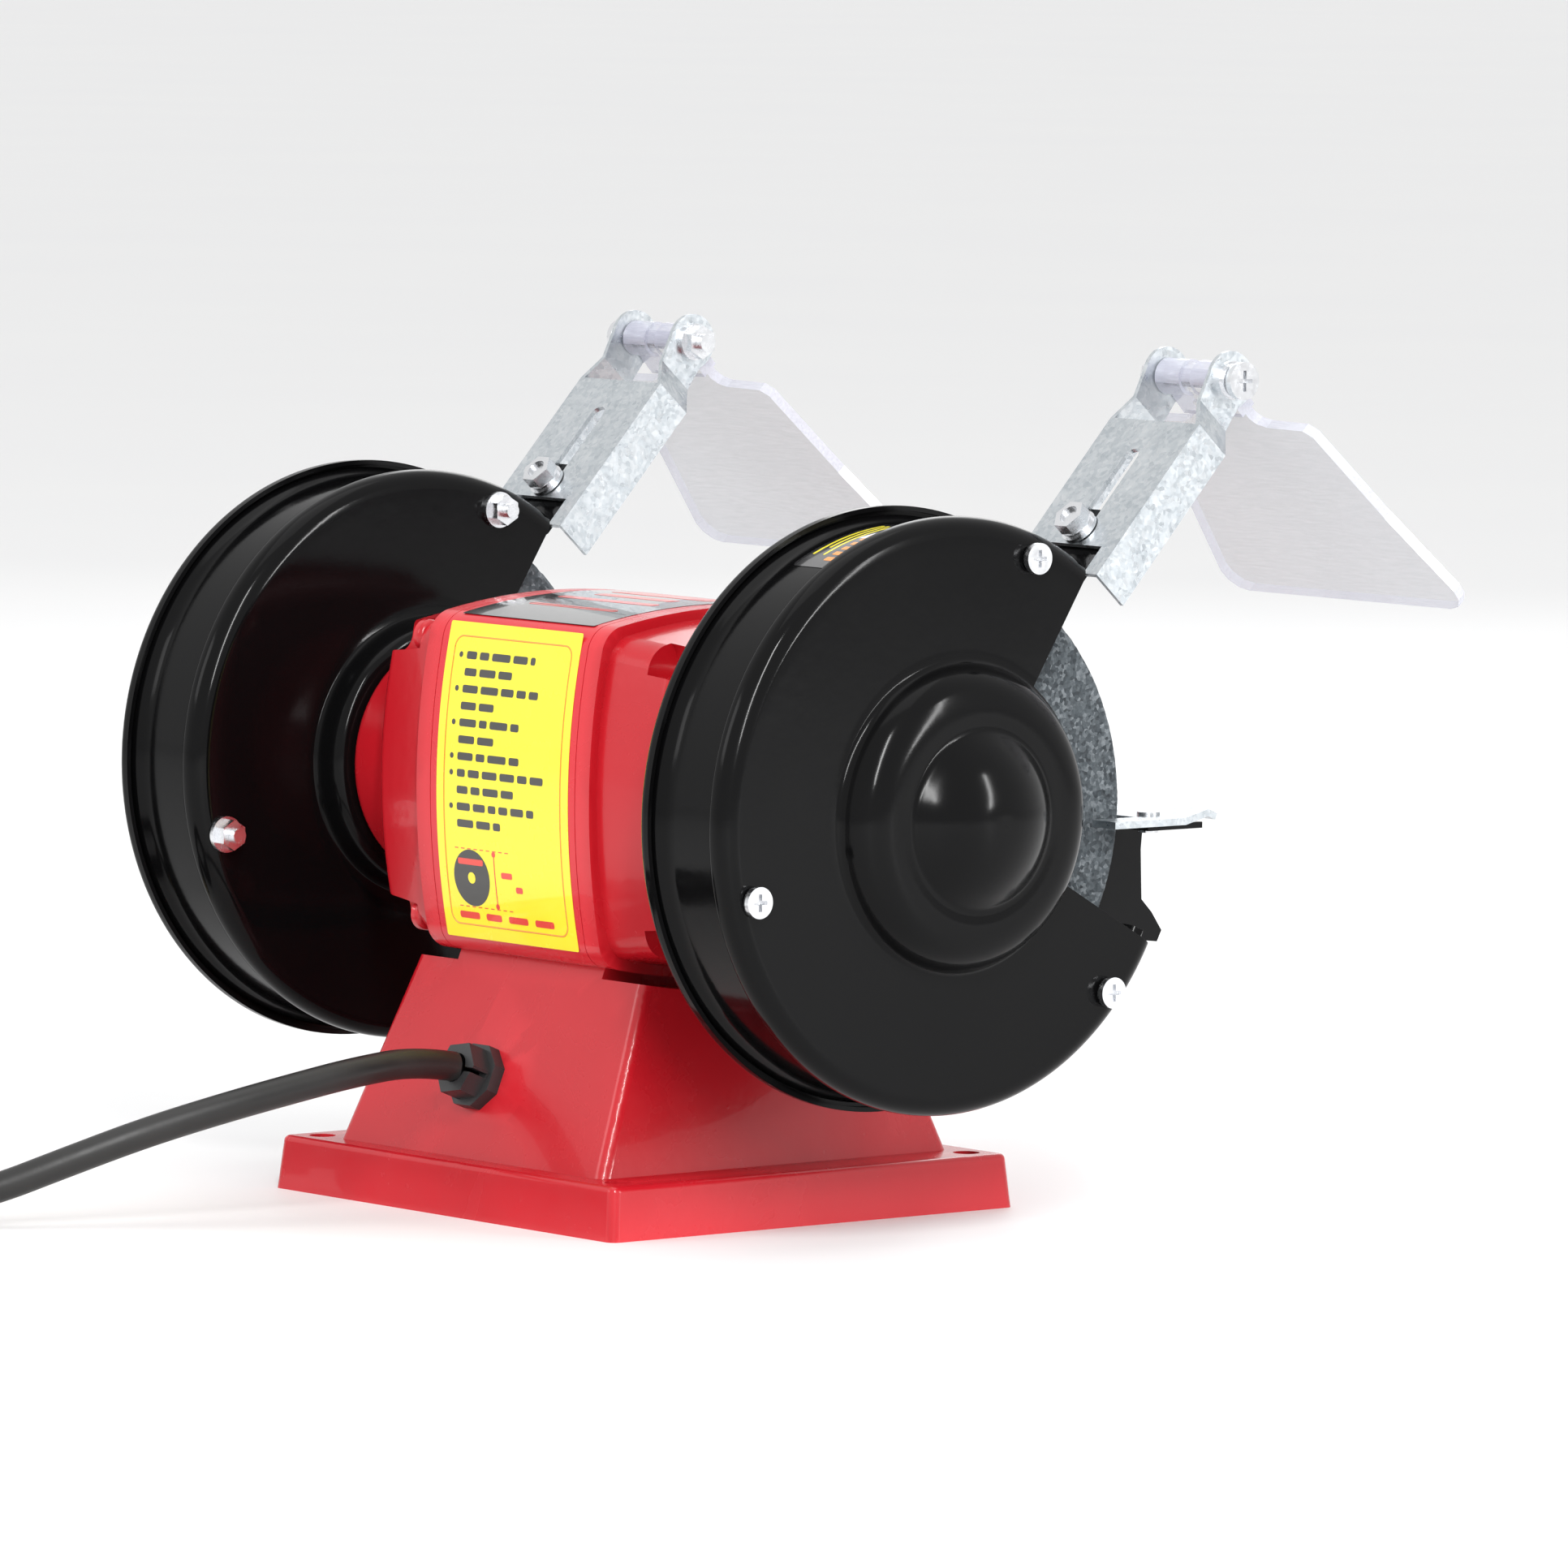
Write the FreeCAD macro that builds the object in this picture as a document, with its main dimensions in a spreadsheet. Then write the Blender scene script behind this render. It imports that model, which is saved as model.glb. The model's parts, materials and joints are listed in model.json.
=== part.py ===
import FreeCAD, Part
import Sketcher
import math
import os

# Bench grinder with two 127 mm wheels, 142 x 134 mm footprint.
# Frame: +Z up, +X along the shaft, the user stands at -Y.
# The origin is the centre of the base footprint, on the bench plane.
# "left" and "right" are the user's: left is -X, right is +X.

Vec = FreeCAD.Vector
Rot = FreeCAD.Rotation
Plc = FreeCAD.Placement

doc = FreeCAD.newDocument("BenchGrinder")
sheet = doc.addObject("Spreadsheet::Sheet", "dims")

DIMENSIONS = [
    # base casting
    ("base_length_x", 142.0), ("base_depth_y", 134.0), ("base_flange_height", 14.0),
    ("base_draft", 1.3), ("pedestal_foot_x", 55.0), ("pedestal_foot_y", 58.0),
    ("pedestal_top_x", 46.4), ("pedestal_top_y", 36.0), ("pedestal_height", 68.0),
    ("mount_hole_x", 62.0), ("mount_hole_y", 58.0), ("mount_hole_radius", 3.5),
    ("plate_recess", 4.0), ("plate_thickness", 1.5), ("plate_half_x", 56.0), ("plate_half_y", 62.0),
    ("bell_gap", 2.5),
    # motor
    ("shaft_height", 109.0), ("shell_half_length", 30.0), ("section_half", 48.0),
    ("section_corner", 43.03), ("corner_radius", 8.0), ("stator_bore", 42.0),
    ("bell_lip", 5.7), ("bell_end", 60.0), ("bell_gasket", 0.3), ("bell_step", 2.5), ("bell_draft", 2.5),
    ("boss_radius", 32.5), ("boss_end", 84.7), ("bolt_spacing", 36.5), ("bolt_well", 5.5),
    # shaft and bearings (6202: 15 x 35 x 11)
    ("rotor_radius", 24.0), ("core_half_length", 20.0), ("air_gap", 0.4),
    ("shaft_core_radius", 8.5), ("journal_radius", 7.5), ("journal_play", 0.04),
    ("bearing_radius", 17.5), ("bearing_width", 11.0), ("bearing_x", 57.0),
    ("arbor_radius", 6.35), ("arbor_shoulder", 93.4), ("shaft_end", 129.5),
    # grinding wheels
    ("wheel_radius", 63.5), ("wheel_width", 16.0), ("wheel_centre", 106.25), ("wheel_bore", 6.39),
    ("flange_radius", 22.0), ("blotter_thickness", 0.6), ("nut_height", 8.0),
    # guards
    ("guard_shift", 219.5), ("guard_face_x", -125.3), ("sheet_metal", 1.2),
    ("guard_radius", 76.0), ("drum_radius", 73.0), ("rim_radius", 75.2), ("guard_depth", 31.0),
    ("back_radius", 77.2), ("dish_depth", 8.4), ("guard_screw_circle", 69.0), ("guard_screw_radius", 2.0),
    ("hub_radius", 38.8), ("hub_height", 9.5), ("dome_radius", 21.4), ("dome_height", 18.7),
    # eye-shield bracket
    ("bracket_width", 34.5), ("bracket_left_x", -108.75), ("bracket_web", 50.6), ("bracket_depth", 12.3),
    ("bracket_sheet", 1.2), ("ear_joggle", 4.25), ("ear_radius", 7.5), ("pivot_along", 68.2),
    ("pivot_front", 3.5), ("slot_start", 13.6), ("slot_stop", 38.4), ("slot_half_width", 2.6),
    ("clamp_along", 14.0), ("pivot_screw_radius", 2.5),
    # eye shield
    ("shield_thickness", 2.8), ("barrel_radius", 4.75), ("barrel_half", 11.4), ("barrel_bore", 2.55),
    # tool rest
    ("rest_plate_thickness", 1.8), ("rest_height", 104.0), ("rest_back", 60.0), ("rest_front", 86.0),
    ("rest_gap", 66.5), ("rest_bracket_sheet", 1.6),
    # cord
    ("cord_radius", 3.9), ("coil_outer", 57.6), ("coil_inner", 31.3), ("coil_height", 14.6),
]

VALUE = {}
for row, (alias, number) in enumerate(DIMENSIONS, start=1):
    sheet.set("A%d" % row, alias.replace("_", " "))
    sheet.set("B%d" % row, "%g" % number)
    sheet.setAlias("B%d" % row, alias)
    VALUE[alias] = number
doc.recompute()


class Dim:
    """A dimension: its number, and the expression that binds it to the sheet."""

    def __init__(self, value, text):
        self.v = float(value)
        self.e = text

    def __add__(self, o):
        o = dim(o)
        return Dim(self.v + o.v, "(%s + %s)" % (self.e, o.e))

    __radd__ = __add__

    def __sub__(self, o):
        o = dim(o)
        return Dim(self.v - o.v, "(%s - %s)" % (self.e, o.e))

    def __rsub__(self, o):
        return dim(o) - self

    def __mul__(self, k):
        k = dim(k)
        return Dim(self.v * k.v, "(%s * %s)" % (self.e, k.e))

    __rmul__ = __mul__

    def __truediv__(self, k):
        k = dim(k)
        return Dim(self.v / k.v, "(%s / %s)" % (self.e, k.e))

    def __neg__(self):
        return Dim(-self.v, "(0 - %s)" % self.e)


def dim(x):
    if isinstance(x, Dim):
        return x
    return Dim(x, "(%.6f)" % float(x) if float(x) >= 0 else "(0 - %.6f)" % abs(float(x)))


def D(alias):
    return Dim(VALUE[alias], "dims.%s" % alias)


def bound(x):
    return isinstance(x, Dim)


def setp(obj, prop, value):
    """Set one property, and bind it when it comes from the sheet."""
    setattr(obj, prop, dim(value).v)
    if bound(value):
        obj.setExpression(prop, value.e)


def place(obj, base=(0, 0, 0), axis=None, angle=0.0):
    rot = Rot(Vec(*axis), angle) if axis else Rot()
    obj.Placement = Plc(Vec(*[dim(c).v for c in base]), rot)
    for key, c in zip("xyz", base):
        if bound(c):
            obj.setExpression("Placement.Base.%s" % key, c.e)


NODES = []          # the sub-parts, in order


def node(obj, label):
    obj.Label = label
    NODES.append((label, obj))
    return obj


# ---------------------------------------------------------------- sketches
def new_body(label, base=(0, 0, 0), axis=None, angle=0.0):
    b = doc.addObject("PartDesign::Body", label + "_body")
    place(b, base, axis, angle)
    return b


def origin_plane(b, role):
    return [f for f in b.Origin.OriginFeatures if f.Role == role][0]


def new_sketch(b, role="XZ_Plane", offset=None):
    s = b.newObject("Sketcher::SketchObject", b.Name + "_sketch")
    s.AttachmentSupport = [(origin_plane(b, role), "")]
    s.MapMode = "FlatFace"
    if offset is not None:
        s.AttachmentOffset = Plc(Vec(0, 0, dim(offset).v), Rot())
        if bound(offset):
            s.setExpression("AttachmentOffset.Base.z", offset.e)
    return s


def pin(s, geo, pos, x, y):
    """Fix one sketch point by its two coordinates."""
    for kind, axis, c in (("DistanceX", -2, x), ("DistanceY", -1, y)):
        if abs(dim(c).v) < 1e-9:
            s.addConstraint(Sketcher.Constraint("PointOnObject", geo, pos, axis))
        else:
            i = s.addConstraint(Sketcher.Constraint(kind, -1, 1, geo, pos, dim(c).v))
            if bound(c):
                s.setExpression("Constraints[%d]" % i, c.e)


def outline(s, pts):
    """Closed outline. A point (x, y) ends a line; (x, y, mx, my) ends an arc through m."""
    n = len(pts)
    base = s.GeometryCount
    ends = []
    for i in range(n):
        a, b = pts[i - 1], pts[i]
        p = Vec(dim(a[0]).v, dim(a[1]).v, 0)
        q = Vec(dim(b[0]).v, dim(b[1]).v, 0)
        if len(b) == 4:
            arc = Part.Arc(p, Vec(dim(b[2]).v, dim(b[3]).v, 0), q)
            g = s.addGeometry(arc, False)
            first = s.Geometry[g].StartPoint
            ends.append((g, 1, 2) if first.distanceToPoint(p) < 1e-4 else (g, 2, 1))
        else:
            g = s.addGeometry(Part.LineSegment(p, q), False)
            ends.append((g, 1, 2))
    for i in range(n):
        g, start, stop = ends[i]
        h, hstart, hstop = ends[(i + 1) % n]
        s.addConstraint(Sketcher.Constraint("Coincident", g, stop, h, hstart))
        pin(s, g, stop, pts[i][0], pts[i][1])
    return base


def circle(s, x, y, r):
    g = s.addGeometry(Part.Circle(Vec(dim(x).v, dim(y).v, 0), Vec(0, 0, 1), dim(r).v), False)
    pin(s, g, 3, x, y)
    i = s.addConstraint(Sketcher.Constraint("Radius", g, dim(r).v))
    if bound(r):
        s.setExpression("Constraints[%d]" % i, r.e)


def pad(b, s, length, both=False, back=False):
    f = b.newObject("PartDesign::Pad", b.Name + "_pad")
    f.Profile = s
    setp(f, "Length", length)
    f.Midplane = both
    f.Reversed = back
    s.Visibility = False
    return f


def pocket(b, s, length=None, both=False, back=False):
    """Cut a sketch out of a body; the volume has to fall."""
    doc.recompute()
    before = b.Shape.Volume
    f = b.newObject("PartDesign::Pocket", b.Name + "_pocket")
    f.Profile = s
    if length is None:
        f.Type = "ThroughAll"
    else:
        setp(f, "Length", length)
    f.Midplane = both
    f.Reversed = back
    doc.recompute()
    if not b.Shape.Volume < before - 1e-3:
        raise ValueError("pocket cuts nothing in " + b.Name)
    return f


def revolve(b, s):
    f = b.newObject("PartDesign::Revolution", b.Name + "_revolution")
    f.Profile = s
    f.ReferenceAxis = (s, ["H_Axis"])
    f.Angle = 360.0
    return f


def loft(b, s1, s2, cut=False):
    f = b.newObject("PartDesign::SubtractiveLoft" if cut else "PartDesign::AdditiveLoft", b.Name + "_loft")
    f.Profile = s1
    f.Sections = [s2]
    f.Ruled = True
    return f


def soften(b, radius, test, chamfer=False):
    """Fillet the edges of a body's last feature that pass a test."""
    doc.recompute()
    tip = b.Tip
    names = ["Edge%d" % (i + 1) for i, e in enumerate(tip.Shape.Edges) if test(e)]
    if not names:
        raise ValueError("no edge to soften in " + b.Name)
    f = b.newObject("PartDesign::Chamfer" if chamfer else "PartDesign::Fillet", b.Name + "_edge")
    f.Base = (tip, names)
    setp(f, "Size" if chamfer else "Radius", radius)
    doc.recompute()
    return f


def ring_edge(x, r):
    """True for a circular edge of radius r at position x along the shaft."""
    def test(e):
        c = getattr(e, "Curve", None)
        return (isinstance(c, Part.Circle) and abs(c.Radius - r) < 0.02
                and abs(c.Center.x - x) < 0.02)
    return test


def turned(label, pts, base=(0, 0, 0), rounds=()):
    """A piece turned about the shaft: outline in (x, radius)."""
    b = new_body(label, base)
    s = new_sketch(b, "XZ_Plane")
    outline(s, pts)
    revolve(b, s)
    for radius, x, r in rounds:
        soften(b, radius, ring_edge(x, r))
    return node(b, label)


def rect(s, hx, hy):
    outline(s, [(hx, hy), (-hx, hy), (-hx, -hy), (hx, -hy)])


SH = D("shaft_height")
AXIS = (0, 0, SH)


def section(s, grow=0.0, shift=0.0):
    """The motor's section: four bowed sides, in a sketch on the YZ plane."""
    m = D("section_half") + grow
    c = D("section_corner") + grow
    outline(s, [(c, c + shift, m, shift), (-c, c + shift, 0, m + shift), (-c, -c + shift, -m, shift),
                (c, -c + shift, 0, -m + shift)])


def prism(name, obj_list):
    f = doc.addObject("Part::MultiFuse", name)
    f.Shapes = obj_list
    return f


def box(name, lx, ly, lz, base=(0, 0, 0), axis=None, angle=0.0):
    o = doc.addObject("Part::Box", name)
    setp(o, "Length", lx)
    setp(o, "Width", ly)
    setp(o, "Height", lz)
    place(o, base, axis, angle)
    return o


def rod(name, r, length, base=(0, 0, 0), direction=(0, 0, 1)):
    o = doc.addObject("Part::Cylinder", name)
    setp(o, "Radius", r)
    setp(o, "Height", length)
    d = Vec(*direction)
    rot = Rot(Vec(0, 0, 1), d)
    o.Placement = Plc(Vec(*[dim(c).v for c in base]), rot)
    for key, c in zip("xyz", base):
        if bound(c):
            o.setExpression("Placement.Base.%s" % key, c.e)
    return o


def hexrod(name, across, length, base, direction):
    o = doc.addObject("Part::Prism", name)
    o.Polygon = 6
    o.Circumradius = across / math.sqrt(3.0)
    setp(o, "Height", length)
    o.Placement = Plc(Vec(*[dim(c).v for c in base]), Rot(Vec(0, 0, 1), Vec(*direction)))
    for key, c in zip("xyz", base):
        if bound(c):
            o.setExpression("Placement.Base.%s" % key, c.e)
    return o


def cut(name, a, b):
    f = doc.addObject("Part::Cut", name)
    f.Base = a
    f.Tool = b
    return f


def fuse(name, parts):
    f = doc.addObject("Part::MultiFuse", name)
    f.Shapes = parts
    return f


def common(name, a, b):
    f = doc.addObject("Part::Common", name)
    f.Base = a
    f.Tool = b
    return f


def group(name, parts):
    """Identical pieces kept as separate solids of one node."""
    f = doc.addObject("Part::Compound", name)
    f.Links = parts
    return f


def extrusion(name, pts, plane, length, base, both=False):
    """A sheet or plate: polygon extruded along its plane's normal."""
    poly = doc.addObject("Part::Feature", name + "_face")
    edges = [Part.makePolygon([Vec(*p) for p in pts] + [Vec(*pts[0])])]
    poly.Shape = Part.Face(Part.Wire(edges[0].Edges))
    e = doc.addObject("Part::Extrusion", name)
    e.Base = poly
    e.DirMode = "Custom"
    e.Dir = plane
    setp(e, "LengthFwd", length)
    e.Solid = True
    e.Symmetric = both
    return e


# ------------------------------------------------------------ base casting
# Hollow iron casting: drafted flange with four bolt holes, a tapered pedestal
# and a cradle cut to the motor's section.
b = new_body("base_casting")
s1 = new_sketch(b, "XY_Plane")
rect(s1, D("base_length_x") / 2, D("base_depth_y") / 2)
s2 = new_sketch(b, "XY_Plane", D("base_flange_height"))
rect(s2, D("base_length_x") / 2 - D("base_draft"), D("base_depth_y") / 2 - D("base_draft"))
loft(b, s1, s2)
soften(b, 2.5, lambda e: abs(abs(e.CenterOfMass.x) - 70.3) < 1 and abs(abs(e.CenterOfMass.y) - 66.3) < 1)
s1 = new_sketch(b, "XY_Plane", D("base_flange_height"))
rect(s1, D("pedestal_foot_x"), D("pedestal_foot_y"))
s2 = new_sketch(b, "XY_Plane", D("pedestal_height"))
rect(s2, D("pedestal_top_x"), D("pedestal_top_y"))
loft(b, s1, s2)
soften(b, 3.0, lambda e: e.BoundBox.ZLength > 45 and e.CenterOfMass.z > 30)
soften(b, 1.6, lambda e: abs(e.BoundBox.ZMin - 14.0) < 0.1 and e.BoundBox.ZLength < 0.1
       and e.BoundBox.DiagonalLength > 60 and abs(e.CenterOfMass.x) + abs(e.CenterOfMass.y) > 40
       and (abs(abs(e.CenterOfMass.x) - 69.7) < 0.2 or abs(abs(e.CenterOfMass.y) - 65.7) < 0.2))
# cradle under the motor shell, and the thin gap under both end bells
s = new_sketch(b, "YZ_Plane")
section(s, 0.0, SH)
pocket(b, s, 100.0, both=True)
s = new_sketch(b, "YZ_Plane", D("shell_half_length"))
section(s, D("bell_gap"), SH)
pocket(b, s, 30.0, back=True)
s = new_sketch(b, "YZ_Plane", -D("shell_half_length"))
section(s, D("bell_gap"), SH)
pocket(b, s, 30.0)
# cavity and the recess for the bottom plate
s1 = new_sketch(b, "XY_Plane", D("plate_recess") - 0.01)
rect(s1, dim(49.0), dim(52.0))
s2 = new_sketch(b, "XY_Plane", dim(55.0))
rect(s2, D("pedestal_top_x") - 5.5, D("pedestal_top_y") - 0.5)
loft(b, s1, s2, cut=True)
s = new_sketch(b, "XY_Plane")
rect(s, D("plate_half_x") + 0.3, D("plate_half_y") + 0.3)
pocket(b, s, D("plate_recess"), back=True)
s = new_sketch(b, "XY_Plane")
for sx in (-1, 1):
    for sy in (-1, 1):
        circle(s, D("mount_hole_x") * sx, D("mount_hole_y") * sy, D("mount_hole_radius"))
pocket(b, s, 30.0, back=True)
s = new_sketch(b, "XY_Plane")
for sx in (-1, 1):
    circle(s, dim(18.0 * sx), dim(0.0), dim(2.6))
    for sy in (-1, 1):
        circle(s, dim(52.5 * sx), dim(57.0 * sy), dim(1.9))
pocket(b, s, 12.5, back=True)
s = new_sketch(b, "XY_Plane", dim(50.0))
for sx in (-1, 1):
    circle(s, dim(18.0 * sx), dim(0.0), dim(2.6))
pocket(b, s, 20.0, back=True)
casting = b

# the sloped faces of the pedestal: unit normals and the entries of cord and switch
SLOPE = math.atan2(22.0, 54.0)
NB = (0.0, math.cos(SLOPE), math.sin(SLOPE))
NF = (0.0, -math.cos(SLOPE), math.sin(SLOPE))
GLAND = (5.0, 49.9, 33.7)
gland_hole = rod("gland_hole", 6.6, 30.0, tuple(GLAND[i] - 15.0 * NB[i] for i in range(3)), NB)
SWITCH = (0.0, -48.25, 38.0)
switch_hole = doc.addObject("Part::Box", "switch_hole")
switch_hole.Length, switch_hole.Width, switch_hole.Height = 27.4, 21.4, 30.0
switch_rot = Rot(Vec(1, 0, 0), Vec(0, math.sin(SLOPE), math.cos(SLOPE)), Vec(*NF), "ZXY")
switch_hole.Placement = Plc(Vec(*SWITCH), switch_rot).multiply(Plc(Vec(-13.7, -10.7, -15.0), Rot()))
f = fuse("base_tools", [gland_hole, switch_hole])
node(cut("base_casting_cut", casting, f), "base_casting")

# bottom plate and its screws
b = new_body("base_cover_plate")
s = new_sketch(b, "XY_Plane", D("plate_recess") - D("plate_thickness"))
rect(s, D("plate_half_x"), D("plate_half_y"))
for sx in (-1, 1):
    for sy in (-1, 1):
        circle(s, dim(52.5 * sx), dim(57.0 * sy), dim(2.2))
pad(b, s, D("plate_thickness"))
s = new_sketch(b, "XY_Plane", D("plate_recess") - D("plate_thickness"))
for i in range(-3, 4):
    outline(s, [(7.0 * i + 1.5, 25.0), (7.0 * i - 1.5, 25.0), (7.0 * i - 1.5, -25.0), (7.0 * i + 1.5, -25.0)])
pocket(b, s, 4.0, back=True)
node(b, "base_cover_plate")


def pan_screw(name, base, direction, head_r, head_h, r, length):
    """Pan-head screw: base is the underside of the head, direction runs down the thread."""
    d = Vec(*direction)
    head = rod(name + "_head", head_r, head_h, tuple(dim(base[i]) - head_h * direction[i] for i in range(3)), direction)
    edges = [i + 1 for i, e in enumerate(Part.makeCylinder(1, 1).Edges) if abs(e.BoundBox.ZMin) < 1e-6 and e.BoundBox.ZLength < 1e-6]
    rounded = doc.addObject("Part::Fillet", name + "_round")
    rounded.Base = head
    rounded.Edges = [(edges[0], head_h * 0.55, head_h * 0.55)]
    shank = rod(name + "_shank", r, length, base, direction)
    a = box(name + "_cross_a", head_r * 1.1, 1.0, head_h * 0.8)
    c = box(name + "_cross_b", 1.0, head_r * 1.1, head_h * 0.8)
    rot = Rot(Vec(0, 0, 1), d)
    start = Vec(*[dim(base[i]).v for i in range(3)]) - d * (head_h * 1.2)
    a.Placement = Plc(start, rot).multiply(Plc(Vec(-head_r * 0.55, -0.5, 0), Rot()))
    c.Placement = Plc(start, rot).multiply(Plc(Vec(-0.5, -head_r * 0.55, 0), Rot()))
    return cut(name, fuse(name + "_solid", [rounded, shank]), fuse(name + "_recess", [a, c]))


screws = []
for sx in (-1, 1):
    for sy in (-1, 1):
        screws.append(pan_screw("plate_screw_%d%d" % (sx + 1, sy + 1), (52.5 * sx, 57.0 * sy, 2.5), (0, 0, 1), 3.8, 2.0, 1.85, 9.5))
node(group("plate_screw_group", screws), "cover_plate_screws")
screws = [pan_screw("saddle_screw_%d" % (sx + 1), (18.0 * sx, 0.0, 55.0), (0, 0, 1), 4.6, 3.0, 2.5, 11.0) for sx in (-1, 1)]
node(group("saddle_screw_group", screws), "saddle_screws")

# ------------------------------------------------------------------- motor
b = new_body("motor_shell", AXIS)
s = new_sketch(b, "YZ_Plane")
section(s)
circle(s, dim(0), dim(0), D("stator_bore"))
pad(b, s, D("shell_half_length") * 2, both=True)
soften(b, D("corner_radius"), lambda e: e.BoundBox.XLength > 50 and math.hypot(e.CenterOfMass.y, e.CenterOfMass.z) > 50
       and not isinstance(getattr(e, "Curve", None), Part.Circle))
s = new_sketch(b, "YZ_Plane")
for sy in (-1, 1):
    for sz in (-1, 1):
        circle(s, D("bolt_spacing") * sy, D("bolt_spacing") * sz, dim(2.6))
pocket(b, s, 80.0, both=True)
s = new_sketch(b, "XY_Plane", dim(-50.0))
for sx in (-1, 1):
    circle(s, dim(18.0 * sx), dim(0), dim(2.52))
pocket(b, s, 12.0, back=True)
node(b, "motor_shell")


def end_bell(label, sg):
    """Cast end bell: full-section lip, stepped and tapered body, round boss with the bearing seat."""
    b = new_body(label, AXIS)
    x0 = D("shell_half_length") + D("bell_gasket")
    x1 = x0 + D("bell_lip")
    s = new_sketch(b, "YZ_Plane", x0 * sg)
    section(s)
    pad(b, s, D("bell_lip"), back=(sg < 0))
    soften(b, D("corner_radius"), lambda e: e.BoundBox.XLength > 4 and e.BoundBox.YLength < 0.01 and e.BoundBox.ZLength < 0.01)
    s1 = new_sketch(b, "YZ_Plane", x1 * sg)
    section(s1, -D("bell_step"))
    s2 = new_sketch(b, "YZ_Plane", D("bell_end") * sg)
    section(s2, -D("bell_step") - D("bell_draft"))
    loft(b, s1, s2)
    soften(b, D("corner_radius"), lambda e: e.BoundBox.XLength > 20 and math.hypot(e.CenterOfMass.y, e.CenterOfMass.z) > 45)
    soften(b, 4.5, lambda e: abs(abs(e.CenterOfMass.x) - 60.0) < 0.05 and e.BoundBox.XLength < 0.05)
    s = new_sketch(b, "YZ_Plane", (D("bell_end") - 1.0) * sg)
    circle(s, dim(0), dim(0), D("boss_radius"))
    pad(b, s, D("boss_end") - D("bell_end") + 1.0, back=(sg < 0))
    soften(b, 3.0, ring_edge(sg * VALUE["boss_end"], VALUE["boss_radius"]))
    # hollow, bearing seat and shaft hole
    s = new_sketch(b, "YZ_Plane", x0 * sg)
    circle(s, dim(0), dim(0), D("stator_bore") - 4.0)
    pocket(b, s, 24.0, back=(sg > 0))
    s = new_sketch(b, "YZ_Plane", x0 * sg)
    circle(s, dim(0), dim(0), D("bearing_radius") + 0.02)
    pocket(b, s, D("bearing_x") + D("bearing_width") / 2 - x0, back=(sg > 0))
    s = new_sketch(b, "YZ_Plane", x0 * sg)
    circle(s, dim(0), dim(0), D("journal_radius") + 1.5)
    pocket(b, s, 80.0, back=(sg > 0))
    # tie-bolt holes and the wells at the four corners
    s = new_sketch(b, "YZ_Plane", x0 * sg)
    for sy in (-1, 1):
        for sz in (-1, 1):
            circle(s, D("bolt_spacing") * sy, D("bolt_spacing") * sz, dim(2.6))
    pocket(b, s, 18.0 if sg > 0 else 15.0, back=(sg > 0))
    if sg > 0:
        s = new_sketch(b, "YZ_Plane", dim(44.0 * sg))
    else:
        s = new_sketch(b, "YZ_Plane", dim(50.0 * sg))
    for sy in (-1, 1):
        for sz in (-1, 1):
            circle(s, D("bolt_spacing") * sy, D("bolt_spacing") * sz, D("bolt_well"))
    pocket(b, s, 40.0, back=(sg > 0))
    # tapped holes for the guard's mounting screws
    s = new_sketch(b, "YZ_Plane", (D("boss_end") - 9.0) * sg)
    for k in range(3):
        t = math.radians(90 + 120 * k)
        circle(s, dim(25.0 * math.cos(t)), dim(25.0 * math.sin(t)), dim(1.95))
    pocket(b, s, 20.0, back=(sg > 0))
    return node(b, label)


end_bell("left_end_bell", -1)
end_bell("right_end_bell", 1)

bolts = []
for i, (sy, sz) in enumerate(((-1, -1), (1, -1), (1, 1), (-1, 1))):
    y, z = 36.5 * sy, SH + 36.5 * sz
    bolts.append(pan_screw("tie_bolt_%d" % i, (44.0, y, z), (-1, 0, 0), 4.3, 3.2, 2.5, 88.0))
node(group("tie_bolt_group", bolts), "tie_bolts")

# stator laminations with 24 slots, end windings, rotor, shaft
b = new_body("stator_core", AXIS)
s = new_sketch(b, "YZ_Plane")
circle(s, dim(0), dim(0), D("stator_bore") - 0.02)
circle(s, dim(0), dim(0), D("rotor_radius") + D("air_gap"))
pad(b, s, D("core_half_length") * 2, both=True)
s = new_sketch(b, "YZ_Plane")
r0 = VALUE["rotor_radius"] + 2.6
outline(s, [(r0, 0.9), (r0 + 9.0, 2.0), (r0 + 9.0, -2.0), (r0, -0.9)])
pk = pocket(b, s, 60.0, both=True)
pp = b.newObject("PartDesign::PolarPattern", "stator_slots")
pp.Originals = [pk]
pp.Axis = (s, ["N_Axis"])
pp.Angle = 360.0
pp.Occurrences = 24
b.Tip = pp
doc.recompute()
node(b, "stator_core")

wind = []
for sg in (-1, 1):
    bb = new_body("winding_%d" % (sg + 1), AXIS)
    s = new_sketch(bb, "XZ_Plane")
    a, c = 20.3 * sg, 29.0 * sg
    outline(s, [(a, 27.5), (a, 38.5), (c, 37.0), (c, 29.5)])
    revolve(bb, s)
    soften(bb, 2.0, lambda e: abs(abs(e.CenterOfMass.x) - 29.0) < 0.05 and isinstance(e.Curve, Part.Circle))
    wind.append(bb)
node(group("winding_group", wind), "stator_windings")

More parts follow.
